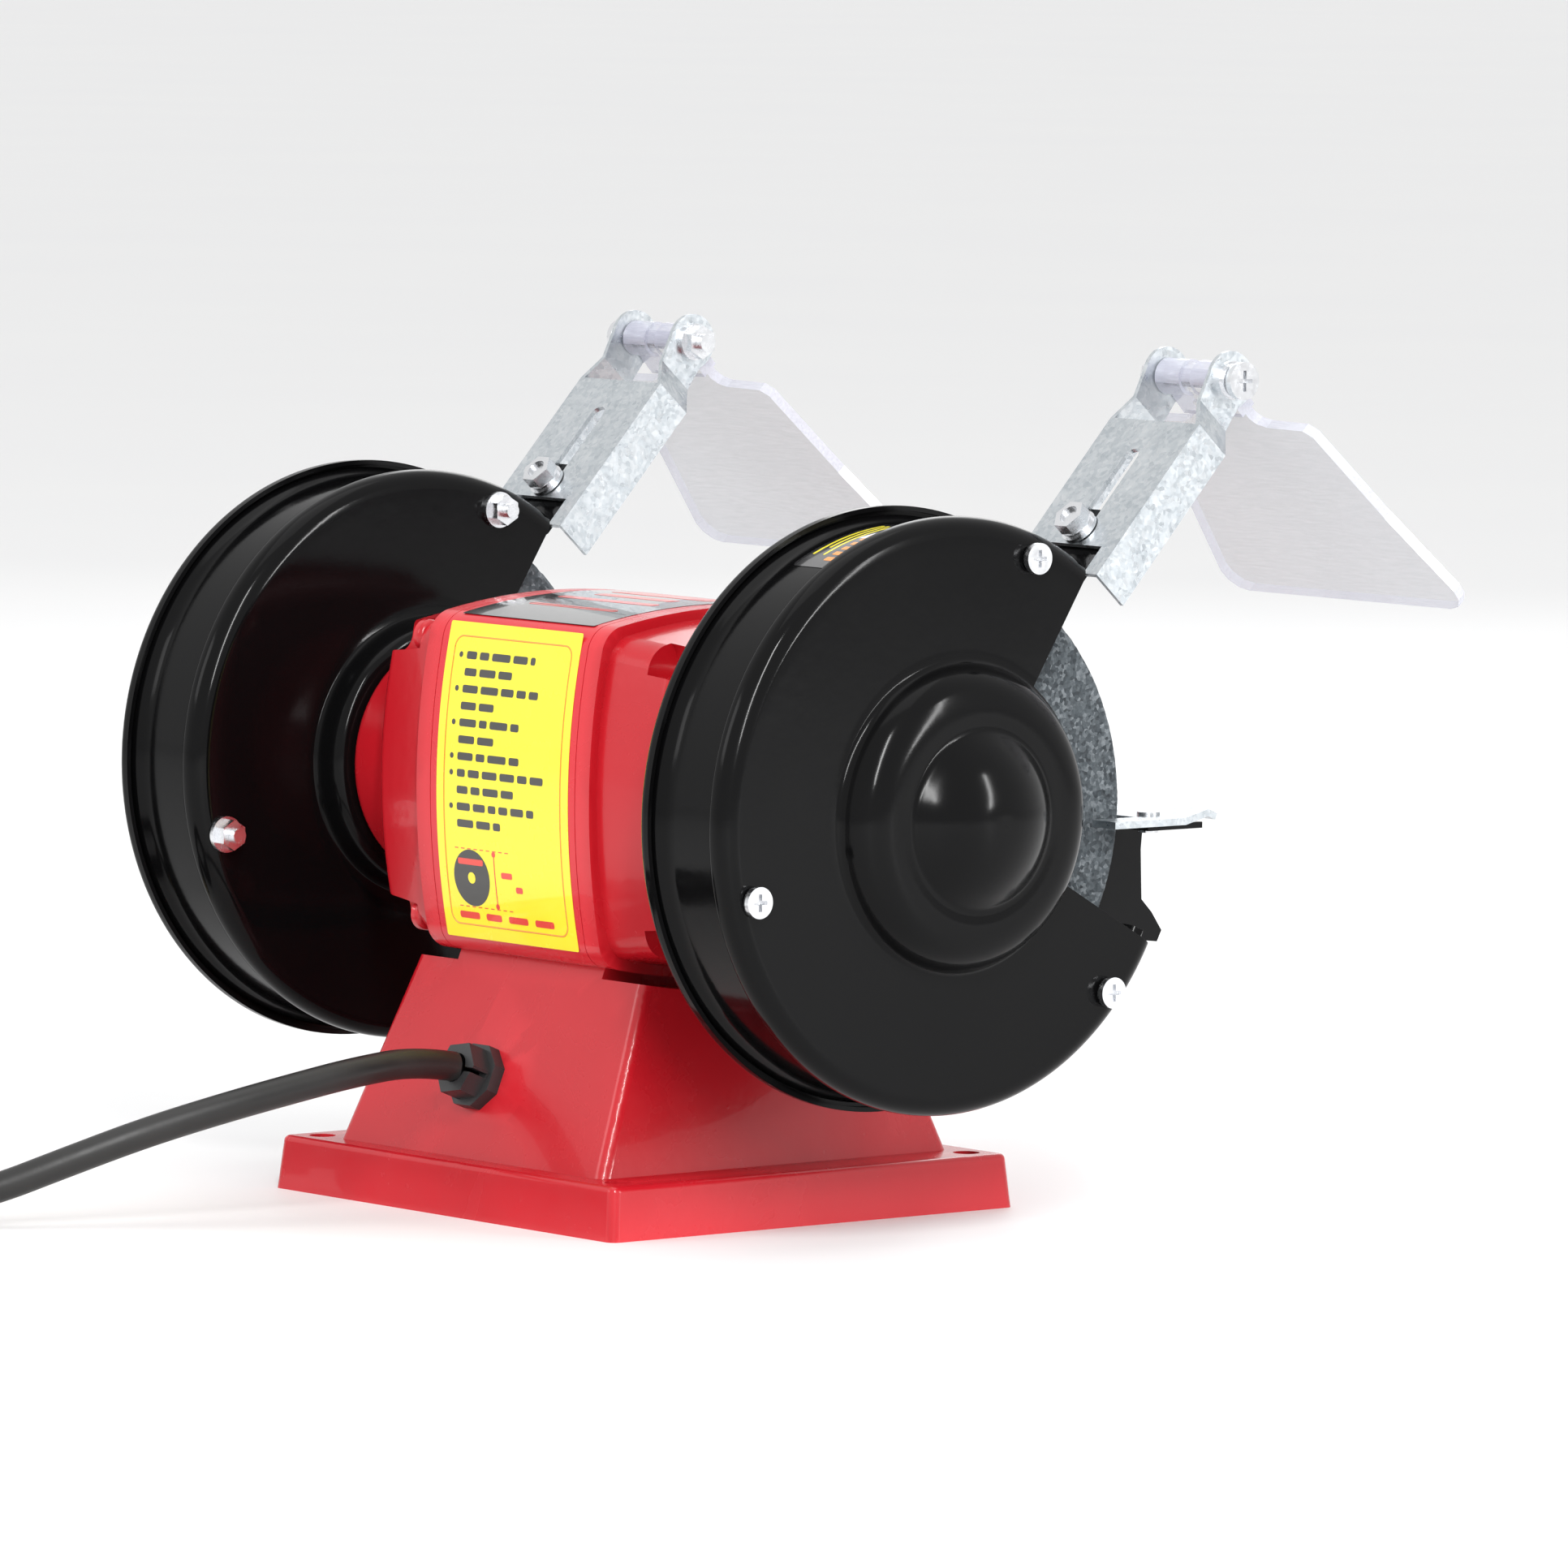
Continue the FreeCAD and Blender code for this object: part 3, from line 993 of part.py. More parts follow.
bolts = []
for side, x_in, web_out in (("l", GX + GD, -91.0), ("r", GX + GS + GD, 128.5)):
    for k, (f, h) in enumerate(REST_BOLTS):
        head = rod("rest_bolt_head_%s%d" % (side, k), 4.6, 2.2, (x_in - 2.2, -f, h), (1, 0, 0))
        shank = rod("rest_bolt_shank_%s%d" % (side, k), 2.45, 10.5, (x_in, -f, h), (1, 0, 0))
        wash = rod("rest_bolt_washer_%s%d" % (side, k), 5.4, 1.0, (web_out + 0.4, -f, h), (1, 0, 0))
        hexa = hexrod("rest_bolt_nut_%s%d" % (side, k), 8.0, 4.0, (web_out + 1.4, -f, h), (1, 0, 0))
        bolts.append(fuse("rest_bolt_%s%d" % (side, k), [head, shank, wash, hexa]))
node(group("rest_bolt_group", bolts), "rest_bolts")

# ------------------------------------------------------------------ switch
SW = Plc(Vec(*SWITCH), switch_rot)


def in_switch(o, x, y, z):
    o.Placement = SW.multiply(Plc(Vec(x, y, z), Rot()))
    return o


bezel = in_switch(box("switch_bezel", 31.0, 25.0, 1.6), -15.5, -12.5, 0.0)
house = in_switch(box("switch_house", 27.0, 21.0, 18.0), -13.5, -10.5, -18.0)
well = in_switch(box("switch_well", 20.6, 13.8, 11.0), -10.3, -6.9, -9.0)
node(cut("switch_body_solid", fuse("switch_body_blank", [bezel, house]), well), "switch_body")
rock = extrusion("rocker_blank", [(-9.3, 0, 2.6), (0, 0, 1.2), (9.3, 0, 2.6), (8.7, 0, -3.5), (0, 0, -6.0), (-8.7, 0, -3.5)], Vec(0, 1, 0), 12.9, None)
in_switch(rock, 0, -6.45, 0)
node(rock, "switch_rocker")

# --------------------------------------------- capacitor and terminal block
cap = rod("capacitor_can", 13.0, 46.0, (-24.0, -23.0, 18.5), (0, 1, 0))
stud = rod("capacitor_tabs", 3.0, 4.0, (-24.0, 22.0, 18.5), (0, 1, 0))
node(fuse("capacitor_solid", [cap, stud]), "capacitor")
ring = rod("clamp_outer", 14.2, 12.0, (-24.0, -6.0, 18.5), (0, 1, 0))
foot = box("clamp_foot", 34.0, 12.0, 1.2, (-41.0, -6.0, 4.0))
bore = rod("clamp_inner", 13.0, 14.0, (-24.0, -7.0, 18.5), (0, 1, 0))
node(cut("capacitor_clamp_solid", fuse("clamp_blank", [ring, foot]), bore), "capacitor_clamp")
block = box("terminal_blank", 30.0, 14.0, 13.0, (12.0, 8.0, 4.0))
tools = [rod("terminal_screw_%d" % k, 2.2, 6.0, (18.0 + 9.0 * k, 15.0, 12.0), (0, 0, 1)) for k in range(3)]
tools += [rod("terminal_entry_%d" % k, 2.0, 20.0, (18.0 + 9.0 * k, 5.0, 9.0), (0, 1, 0)) for k in range(3)]
node(cut("terminal_solid", block, fuse("terminal_tools", tools)), "terminal_block")

# -------------------------------------------------------- gland, cord, plug
CR = D("cord_radius")


def on_gland(o, z, turn=0.0):
    o.Placement = Plc(Vec(*GLAND), Rot(Vec(0, 0, 1), Vec(*NB))).multiply(Plc(Vec(0, 0, z), Rot(Vec(0, 0, 1), turn)))
    return o


neck = on_gland(rod("gland_neck", 6.4, 9.0), -8.0)
octo = doc.addObject("Part::Prism", "gland_flange")
octo.Polygon, octo.Circumradius, octo.Height = 8, 8.9, 3.6
on_gland(octo, 0.0, 22.5)
octo2 = doc.addObject("Part::Prism", "gland_nose")
octo2.Polygon, octo2.Circumradius, octo2.Height = 6, 7.4, 9.4
on_gland(octo2, 0.0, 10.0)
slit = box("gland_slit", 20.0, 1.2, 7.0)
on_gland(slit, 4.2)
slit.Placement = slit.Placement.multiply(Plc(Vec(-10.0, -0.6, 0), Rot()))
hole = on_gland(rod("gland_bore", 3.92, 40.0), -20.0)
node(cut("cord_gland_solid", fuse("gland_blank", [neck, octo, octo2]), fuse("gland_tools", [slit, hole])), "cord_gland")


def cord_tube(label, route):
    """Round cord along straight runs joined by tangent arcs."""
    P = [Vec(*p) for p in route]
    radius = VALUE["cord_radius"]
    edges, start, radii = [], P[0], []
    for i in range(1, len(P) - 1):
        a, c = P[i - 1] - P[i], P[i + 1] - P[i]
        la, lc = a.Length, c.Length
        a.normalize()
        c.normalize()
        turn = math.pi - a.getAngle(c)
        cutback = 0.45 * min(la, lc)
        r = cutback / math.tan(turn / 2)
        radii.append(round(r, 1))
        p1, p2 = P[i] + a * cutback, P[i] + c * cutback
        bis = a + c
        bis.normalize()
        mid = P[i] + bis * (r / math.cos(turn / 2) - r)
        edges.append(Part.LineSegment(start, p1).toShape())
        edges.append(Part.Arc(p1, mid, p2).toShape())
        start = p2
    edges.append(Part.LineSegment(start, P[-1]).toShape())
    wire = Part.Wire(edges)
    tangent = P[1] - P[0]
    ring = Part.Wire([Part.makeCircle(radius, P[0], tangent)])
    shape = wire.makePipeShell([ring], True, False)
    ratio = shape.Volume / (math.pi * radius ** 2 * wire.Length)
    print(label, "length %.1f" % wire.Length, "radii", radii, "volume ratio %.4f" % ratio)
    f = doc.addObject("Part::Feature", label + "_tube")
    f.Shape = shape
    return node(f, label)


ROUTE = [(5.0, 59.0, 37.5), (6.0, 71.0, 39.6), (8.0, 89.0, 37.6), (12.0, 106.0, 34.0), (17.0, 124.5, 29.6), (24.0, 143.6, 24.0),
         (33.0, 161.5, 16.8), (43.5, 178.0, 9.2), (55.0, 194.5, 4.5), (68.5, 214.2, 3.9), (81.0, 233.0, 3.9)]
TAIL = [(168.4, 227.6, 10.7), (174.5, 212.0, 11.6), (178.7, 195.5, 12.0), (182.0, 179.0, 10.6), (184.6, 164.5, 9.2)]
cord_tube("power_cord", ROUTE)
cord_tube("cord_tail", TAIL)
COIL = (125.3, 202.7)
b = new_body("cord_coil", (COIL[0], COIL[1], 0))
s = new_sketch(b, "XY_Plane")
circle(s, dim(0), dim(0), D("coil_outer"))
circle(s, dim(0), dim(0), D("coil_inner"))
pad(b, s, D("coil_height"))
soften(b, 3.5, lambda e: isinstance(e.Curve, Part.Circle) and abs(e.Curve.Radius - VALUE["coil_outer"]) < 0.1)
node(b, "cord_coil")
o1 = box("tie_outer", VALUE["coil_outer"] - VALUE["coil_inner"] + 2.8, 5.0, VALUE["coil_height"] + 1.4)
o2 = box("tie_inner", VALUE["coil_outer"] - VALUE["coil_inner"], 9.0, VALUE["coil_height"] - 1.2)
at = Plc(Vec(COIL[0], COIL[1], 0), Rot(Vec(0, 0, 1), -60.0))
o1.Placement = at.multiply(Plc(Vec(VALUE["coil_inner"] - 1.4, -2.5, 0), Rot()))
o2.Placement = at.multiply(Plc(Vec(VALUE["coil_inner"], -4.5, 1.2), Rot()))
node(cut("cord_tie_solid", o1, o2), "cord_tie")

# three-pin plug lying beside the coil, cord entering from its back
HEAD = Plc(Vec(184.9, 162.6, 9.0), Rot(Vec(0, 0, 1), math.degrees(math.atan2(-0.986, 0.165))))
grip = doc.addObject("Part::Feature", "plug_blank")
secs = []
for x, w, hgt in ((0.0, 5.6, 5.6), (14.0, 7.4, 6.4), (24.0, 11.0, 8.0), (38.0, 13.0, 9.0)):
    wire = Part.makePolygon([Vec(x, w, -min(hgt, 9.0) + 0.0), Vec(x, w, hgt * 0.7), Vec(x, 0, hgt), Vec(x, -w, hgt * 0.7), Vec(x, -w, -min(hgt, 9.0)), Vec(x, w, -min(hgt, 9.0))])
    secs.append(wire)
grip.Shape = Part.makeLoft(secs, True, True)
grip.Placement = HEAD
node(grip, "plug_body")
pins = []
for k, (y, z, w, hh, ln) in enumerate(((6.35, 3.0, 1.5, 6.3, 17.0), (-6.35, 3.0, 1.5, 6.3, 17.0))):
    o = box("plug_blade_%d" % k, ln, w, hh)
    o.Placement = HEAD.multiply(Plc(Vec(38.0, y - w / 2, z - hh / 2 - 1.5), Rot()))
    pins.append(o)
o = rod("plug_earth", 2.4, 20.0)
o.Placement = HEAD.multiply(Plc(Vec(38.0, 0, -5.2), Rot(Vec(0, 1, 0), 90)))
pins.append(o)
node(group("plug_pin_group", pins), "plug_pins")

# ------------------------------------------------------------------- write
doc.recompute()
names = [label for label, _ in NODES]
assert len(names) == len(set(names)) <= 60, len(names)
for o in doc.Objects:
    if "Invalid" in o.State or "Error" in o.State:
        raise ValueError("failed: %s %s" % (o.Name, o.State))
for label, o in NODES:
    if o.Shape.isNull() or not o.Shape.isValid() or not o.Shape.Solids:
        raise ValueError("bad shape: " + label)
os.makedirs("parts", exist_ok=True)
for label, o in NODES:
    o.Shape.exportStep("parts/%s.step" % label)
print(len(NODES), "parts written")
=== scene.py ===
import json
import math
import random

import bmesh
import bpy
from mathutils import Matrix, Vector, noise


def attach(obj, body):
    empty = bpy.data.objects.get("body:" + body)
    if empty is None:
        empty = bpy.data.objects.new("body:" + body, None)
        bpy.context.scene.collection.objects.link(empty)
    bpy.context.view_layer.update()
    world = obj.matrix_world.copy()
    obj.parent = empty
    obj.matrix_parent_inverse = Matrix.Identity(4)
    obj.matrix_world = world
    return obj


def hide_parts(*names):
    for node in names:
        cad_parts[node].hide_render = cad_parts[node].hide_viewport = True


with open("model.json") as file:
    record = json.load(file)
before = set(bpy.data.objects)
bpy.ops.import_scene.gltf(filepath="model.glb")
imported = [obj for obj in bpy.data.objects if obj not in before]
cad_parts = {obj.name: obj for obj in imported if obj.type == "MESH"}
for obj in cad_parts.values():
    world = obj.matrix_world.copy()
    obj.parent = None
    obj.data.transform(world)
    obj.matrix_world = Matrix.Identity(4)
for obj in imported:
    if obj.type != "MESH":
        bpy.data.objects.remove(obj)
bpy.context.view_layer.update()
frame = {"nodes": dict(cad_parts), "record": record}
NODES = frame["nodes"]
scene = bpy.context.scene
MM = 0.001

# ------------------------------------------------------------------ camera
AZ, EL, ROLL = math.radians(230.48), math.radians(4.95), math.radians(0.66)
fwd = Vector((-math.sin(AZ) * math.cos(EL), math.cos(AZ) * math.cos(EL), -math.sin(EL)))
rgt = Vector((math.cos(AZ), math.sin(AZ), 0.0))
upv = rgt.cross(fwd)
r2 = math.cos(ROLL) * rgt + math.sin(ROLL) * upv
u2 = -math.sin(ROLL) * rgt + math.cos(ROLL) * upv
cam_data = bpy.data.cameras.new("camera")
cam = bpy.data.objects.new("camera", cam_data)
scene.collection.objects.link(cam)
cam_data.sensor_width = 36.0
cam_data.lens = 36.0 * 14503.29 / 1932.0
cam_data.clip_start = 0.05
cam_data.clip_end = 40.0
rot = Matrix((r2, u2, -fwd)).transposed().to_4x4()
cam.matrix_world = Matrix.Translation(Vector((-2377.89, 1915.34, 373.14)) * MM) @ rot
scene.camera = cam


# -------------------------------------------------------------- mesh tools
def link(obj):
    scene.collection.objects.link(obj)
    return obj


def mesh_object(name, verts, faces, mats=(), smooth=True):
    me = bpy.data.meshes.new(name)
    me.from_pydata([tuple(v) for v in verts], [], faces)
    me.validate()
    me.update()
    obj = link(bpy.data.objects.new(name, me))
    for m in mats:
        me.materials.append(m)
    if smooth:
        me.polygons.foreach_set("use_smooth", [True] * len(me.polygons))
    return obj


def fix_normals(obj):
    bm = bmesh.new()
    bm.from_mesh(obj.data)
    bmesh.ops.remove_doubles(bm, verts=bm.verts, dist=1e-7)
    bmesh.ops.recalc_face_normals(bm, faces=bm.faces)
    bm.to_mesh(obj.data)
    bm.free()
    obj.data.update()


def sharp_by_angle(obj, deg=32.0):
    bm = bmesh.new()
    bm.from_mesh(obj.data)
    lim = math.radians(deg)
    for e in bm.edges:
        e.smooth = not (len(e.link_faces) == 2 and e.calc_face_angle(0.0) > lim)
    for f in bm.faces:
        f.smooth = True
    bm.to_mesh(obj.data)
    bm.free()


def bevel(obj, width, segments=2, angle=30.0):
    m = obj.modifiers.new("bevel", "BEVEL")
    m.width = width
    m.segments = segments
    m.limit_method = "ANGLE"
    m.angle_limit = math.radians(angle)
    m.use_clamp_overlap = True
    m.harden_normals = False
    return m


def weighted(obj):
    m = obj.modifiers.new("weighted", "WEIGHTED_NORMAL")
    m.keep_sharp = True
    m.weight = 80
    return m


def solidify(obj, thickness, offset=-1.0):
    m = obj.modifiers.new("solid", "SOLIDIFY")
    m.thickness = thickness
    m.offset = offset
    m.use_even_offset = True
    return m


def bake(obj):
    """Replace an object's mesh by what its modifiers make of it."""
    bpy.context.view_layer.update()
    dg = bpy.context.evaluated_depsgraph_get()
    ev = obj.evaluated_get(dg)
    me = bpy.data.meshes.new_from_object(ev, preserve_all_data_layers=True, depsgraph=dg)
    obj.modifiers.clear()
    obj.data = me
    return obj


def boolean(obj, tool, op="DIFFERENCE"):
    m = obj.modifiers.new("bool", "BOOLEAN")
    m.operation = op
    m.solver = "EXACT"
    m.object = tool
    bake(obj)
    bpy.data.objects.remove(tool)
    return obj


# --------------------------------------------------------------- materials
def new_material(name):
    m = bpy.data.materials.new(name)
    m.use_nodes = True
    nt = m.node_tree
    b = nt.nodes.get("Principled BSDF")
    return m, nt, b


def node(nt, kind, **props):
    n = nt.nodes.new(kind)
    for k, v in props.items():
        if k in n.inputs.keys():
            n.inputs[k].default_value = v
        else:
            setattr(n, k, v)
    return n


def coords(nt):
    return node(nt, "ShaderNodeTexCoord").outputs["Object"]


def noise_tex(nt, vec, scale, detail=4.0, rough=0.6, distortion=0.0):
    n = node(nt, "ShaderNodeTexNoise")
    n.inputs["Scale"].default_value = scale
    n.inputs["Detail"].default_value = detail
    n.inputs["Roughness"].default_value = rough
    n.inputs["Distortion"].default_value = distortion
    nt.links.new(vec, n.inputs["Vector"])
    return n.outputs["Fac"]


def voronoi(nt, vec, scale, feature="F1", out="Distance", randomness=1.0):
    n = node(nt, "ShaderNodeTexVoronoi")
    n.feature = feature
    n.inputs["Scale"].default_value = scale
    n.inputs["Randomness"].default_value = randomness
    nt.links.new(vec, n.inputs["Vector"])
    return n.outputs[out]


def ramp(nt, fac, stops):
    n = node(nt, "ShaderNodeValToRGB")
    cr = n.color_ramp
    while len(cr.elements) < len(stops):
        cr.elements.new(0.5)
    for e, (p, c) in zip(cr.elements, stops):
        e.position = p
        e.color = c if len(c) == 4 else (*c, 1.0)
    nt.links.new(fac, n.inputs["Fac"])
    return n.outputs["Color"]


def maprange(nt, fac, a, b, c, d):
    n = node(nt, "ShaderNodeMapRange")
    for k, v in (("From Min", a), ("From Max", b), ("To Min", c), ("To Max", d)):
        n.inputs[k].default_value = v
    nt.links.new(fac, n.inputs["Value"])
    return n.outputs["Result"]


def mix(nt, fac, a, b, mode="MIX"):
    n = node(nt, "ShaderNodeMix")
    n.data_type = "RGBA"
    n.blend_type = mode
    if isinstance(fac, (int, float)):
        n.inputs["Factor"].default_value = fac
    else:
        nt.links.new(fac, n.inputs["Factor"])
    for key, v in (("A", a), ("B", b)):
        sock = [s for s in n.inputs if s.name == key and s.type == "RGBA"][0]
        if isinstance(v, tuple):
            sock.default_value = v if len(v) == 4 else (*v, 1.0)
        else:
            nt.links.new(v, sock)
    return [s for s in n.outputs if s.type == "RGBA"][0]


def math_node(nt, op, a, b=0.0):
    n = node(nt, "ShaderNodeMath")
    n.operation = op
    for i, v in enumerate((a, b)):
        if isinstance(v, (int, float)):
            n.inputs[i].default_value = v
        else:
            nt.links.new(v, n.inputs[i])
    return n.outputs[0]


def bump(nt, bsdf, height, strength, distance=0.001):
    n = node(nt, "ShaderNodeBump")
    n.inputs["Strength"].default_value = strength
    n.inputs["Distance"].default_value = distance
    nt.links.new(height, n.inputs["Height"])
    nt.links.new(n.outputs["Normal"], bsdf.inputs["Normal"])
    return n


def pointiness(nt):
    return node(nt, "ShaderNodeNewGeometry").outputs["Pointiness"]


def enamel(name, colour, dark, light, rough=(0.16, 0.30), coat=0.6, peel=0.10, cast=0.0, specks=0.0, spec=0.5, edge_lift=0.02):
    """Stoved enamel: orange peel, faint cloudiness, a lighter colour along sharp edges, a few dust nibs."""
    m, nt, b = new_material(name)
    v = coords(nt)
    cloud = noise_tex(nt, v, 9.0, 3.0, 0.55)
    fine = noise_tex(nt, v, 900.0, 2.0, 0.5)
    col = ramp(nt, cloud, [(0.30, dark), (0.52, colour), (0.75, light)])
    # lighter, brighter paint colour mixed in on sharp convex edges, found by pointiness
    edge = maprange(nt, pointiness(nt), 0.53, 0.62, 0.0, 0.35)
    col = mix(nt, edge, col, tuple(min(1.0, c * 1.6 + edge_lift) for c in light))
    nt.links.new(col, b.inputs["Base Color"])
    smudge = noise_tex(nt, v, 26.0, 5.0, 0.65, 0.4)
    nt.links.new(maprange(nt, smudge, 0.3, 0.75, rough[0], rough[1]), b.inputs["Roughness"])
    b.inputs["Coat Weight"].default_value = coat
    b.inputs["Coat Roughness"].default_value = 0.04
    b.inputs["Specular IOR Level"].default_value = spec
    h = math_node(nt, "MULTIPLY", noise_tex(nt, v, 260.0, 2.0, 0.5), 1.0)
    h = math_node(nt, "ADD", h, math_node(nt, "MULTIPLY", fine, 0.12))
    if cast:
        h = math_node(nt, "ADD", h, math_node(nt, "MULTIPLY", noise_tex(nt, v, 70.0, 3.0, 0.6), cast))
    if specks:
        s = voronoi(nt, v, 170.0)
        h = math_node(nt, "ADD", h, maprange(nt, s, 0.0, 0.10, specks, 0.0))
    bump(nt, b, h, peel, 0.0006)
    return m


def metal(name, colour, rough, var=0.08, grain=220.0, strength=0.12, streak=None):
    m, nt, b = new_material(name)
    v = coords(nt)
    if streak:
        mp = node(nt, "ShaderNodeMapping")
        mp.inputs["Scale"].default_value = streak
        nt.links.new(v, mp.inputs["Vector"])
        v = mp.outputs["Vector"]
    n1 = noise_tex(nt, v, grain, 4.0, 0.6)
    n2 = noise_tex(nt, v, 35.0, 4.0, 0.6)
    lo = tuple(c * (1 - var) for c in colour)
    hi = tuple(min(1.0, c * (1 + var)) for c in colour)
    nt.links.new(ramp(nt, n2, [(0.3, lo), (0.7, hi)]), b.inputs["Base Color"])
    b.inputs["Metallic"].default_value = 1.0
    nt.links.new(maprange(nt, n1, 0.25, 0.75, rough[0], rough[1]), b.inputs["Roughness"])
    bump(nt, b, n1, strength, 0.0002)
    return m


def spangled(name):
    """Zinc-coated sheet: crystalline spangle patches with differing tone and gloss."""
    m, nt, b = new_material(name)
    v = coords(nt)
    wob = noise_tex(nt, v, 120.0, 2.0, 0.5)
    addv = node(nt, "ShaderNodeVectorMath")
    addv.operation = "ADD"
    scl = node(nt, "ShaderNodeVectorMath")
    scl.operation = "SCALE"
    comb = node(nt, "ShaderNodeCombineXYZ")
    for i in range(3):
        nt.links.new(wob, comb.inputs[i])
    nt.links.new(comb.outputs[0], scl.inputs[0])
    scl.inputs["Scale"].default_value = 0.006
    nt.links.new(v, addv.inputs[0])
    nt.links.new(scl.outputs[0], addv.inputs[1])
    cell = voronoi(nt, addv.outputs[0], 900.0, out="Color")
    sep = node(nt, "ShaderNodeSeparateColor")
    nt.links.new(cell, sep.inputs[0])
    patch = noise_tex(nt, v, 160.0, 5.0, 0.7)
    tone = math_node(nt, "ADD", math_node(nt, "MULTIPLY", sep.outputs[0], 0.30), math_node(nt, "MULTIPLY", patch, 0.72))
    nt.links.new(ramp(nt, tone, [(0.25, (0.43, 0.47, 0.50)), (0.52, (0.55, 0.585, 0.61)), (0.85, (0.68, 0.70, 0.715))]), b.inputs["Base Color"])
    b.inputs["Metallic"].default_value = 1.0
    nt.links.new(maprange(nt, math_node(nt, "ADD", sep.outputs[1], patch), 0.4, 1.6, 0.24, 0.44), b.inputs["Roughness"])
    bump(nt, b, math_node(nt, "ADD", sep.outputs[0], math_node(nt, "MULTIPLY", noise_tex(nt, v, 700.0, 2.0), 0.6)), 0.10, 0.0002)
    return m


def plastic(name, dark, light, rough=(0.35, 0.55), grain=900.0, strength=0.25, coat=0.0):
    m, nt, b = new_material(name)
    v = coords(nt)
    n1 = noise_tex(nt, v, 60.0, 4.0, 0.6)
    n2 = noise_tex(nt, v, grain, 3.0, 0.6)
    edge = maprange(nt, pointiness(nt), 0.52, 0.62, 0.0, 0.25)
    col = ramp(nt, n1, [(0.3, dark), (0.7, light)])
    nt.links.new(mix(nt, edge, col, tuple(min(1.0, c * 2.2 + 0.02) for c in light)), b.inputs["Base Color"])
    nt.links.new(maprange(nt, n1, 0.3, 0.7, rough[0], rough[1]), b.inputs["Roughness"])
    b.inputs["Coat Weight"].default_value = coat
    bump(nt, b, n2, strength, 0.0002)
    return m


def abrasive(name):
    """Vitrified grit: dark blue-grey grains, pale glints, open pores."""
    m, nt, b = new_material(name)
    v = coords(nt)
    g = voronoi(nt, v, 950.0, out="Color")
    sep = node(nt, "ShaderNodeSeparateColor")
    nt.links.new(g, sep.inputs[0])
    big = noise_tex(nt, v, 420.0, 6.0, 0.75)
    t = math_node(nt, "ADD", math_node(nt, "MULTIPLY", sep.outputs[0], 0.5), math_node(nt, "MULTIPLY", big, 0.75))
    nt.links.new(ramp(nt, t, [(0.28, (0.022, 0.026, 0.030)), (0.50, (0.050, 0.060, 0.068)), (0.70, (0.082, 0.096, 0.106)),
                              (0.92, (0.19, 0.21, 0.225))]), b.inputs["Base Color"])
    b.inputs["Specular IOR Level"].default_value = 0.35
    nt.links.new(maprange(nt, sep.outputs[1], 0.0, 1.0, 0.55, 0.95), b.inputs["Roughness"])
    h = math_node(nt, "ADD", math_node(nt, "MULTIPLY", voronoi(nt, v, 700.0), 1.0), math_node(nt, "MULTIPLY", big, 1.2))
    bump(nt, b, h, 0.9, 0.0007)
    return m


def clear(name, alpha, tone_a, tone_b):
    """Moulded clear polycarbonate, with hairline scratches and a faint haze."""
    m, nt, b = new_material(name)
    v = coords(nt)
    mp = node(nt, "ShaderNodeMapping")
    mp.inputs["Scale"].default_value = (1.0, 9.0, 9.0)
    mp.inputs["Rotation"].default_value = (0.2, 0.3, 0.9)
    nt.links.new(v, mp.inputs["Vector"])
    s = noise_tex(nt, mp.outputs[0], 160.0, 5.0, 0.7)
    nt.links.new(ramp(nt, noise_tex(nt, v, 30.0), [(0.3, tone_a), (0.7, tone_b)]), b.inputs["Base Color"])
    nt.links.new(maprange(nt, s, 0.35, 0.75, 0.03, 0.14), b.inputs["Roughness"])
    nt.links.new(maprange(nt, s, 0.3, 0.8, alpha * 0.85, min(1.0, alpha * 1.25)), b.inputs["Alpha"])
    b.inputs["Specular IOR Level"].default_value = 0.5
    bump(nt, b, noise_tex(nt, v, 22.0, 2.0), 0.03, 0.0005)
    return m


M_RED = enamel("red_enamel", (0.47, 0.0085, 0.016), (0.41, 0.006, 0.012), (0.53, 0.012, 0.022), (0.20, 0.34), 0.25, 0.10, 0.6, 0.8, 0.38)
M_BLACK = enamel("black_enamel", (0.0030, 0.0030, 0.0032), (0.0022, 0.0022, 0.0024), (0.0045, 0.0045, 0.0048), (0.09, 0.18), 0.0, 0.03, 0.0, 0.25, 0.13, 0.003)
M_ZINC = spangled("zinc_sheet")
M_HARD = metal("zinc_hardware", (0.74, 0.75, 0.77), (0.16, 0.34), 0.10, 420.0, 0.15)
M_STEEL = metal("machined_steel", (0.58, 0.58, 0.59), (0.20, 0.40), 0.08, 300.0, 0.2, (8.0, 1.0, 1.0))
M_LAM = metal("laminated_steel", (0.34, 0.34, 0.36), (0.35, 0.5), 0.12, 300.0, 0.5, (30.0, 1.0, 1.0))
M_GRIT = abrasive("grit")
M_CLEAR = clear("clear_shield", 0.27, (0.46, 0.47, 0.52), (0.53, 0.54, 0.59))
# edge material: its lighter tone is a painted highlight of the bright plate edges, its bluish tint is the plastic's own
# tint seen edge-on
M_CLEAR_EDGE_HIGHLIGHT = clear("clear_shield_edge_painted_highlight", 0.55, (0.52, 0.53, 0.63), (0.64, 0.65, 0.74))
M_NYLON = plastic("black_nylon", (0.012, 0.012, 0.013), (0.020, 0.020, 0.021), (0.32, 0.5), 700.0, 0.2)
M_CORD = plastic("cord_sheath", (0.0075, 0.0074, 0.007), (0.013, 0.0125, 0.012), (0.34, 0.50), 500.0, 0.2)
M_PAPER = plastic("blotter_card", (0.55, 0.50, 0.38), (0.70, 0.66, 0.54), (0.8, 0.95), 1200.0, 0.5)
M_GREEN = plastic("rocker_green", (0.015, 0.20, 0.045), (0.02, 0.26, 0.06), (0.18, 0.28), 500.0, 0.05, 0.4)
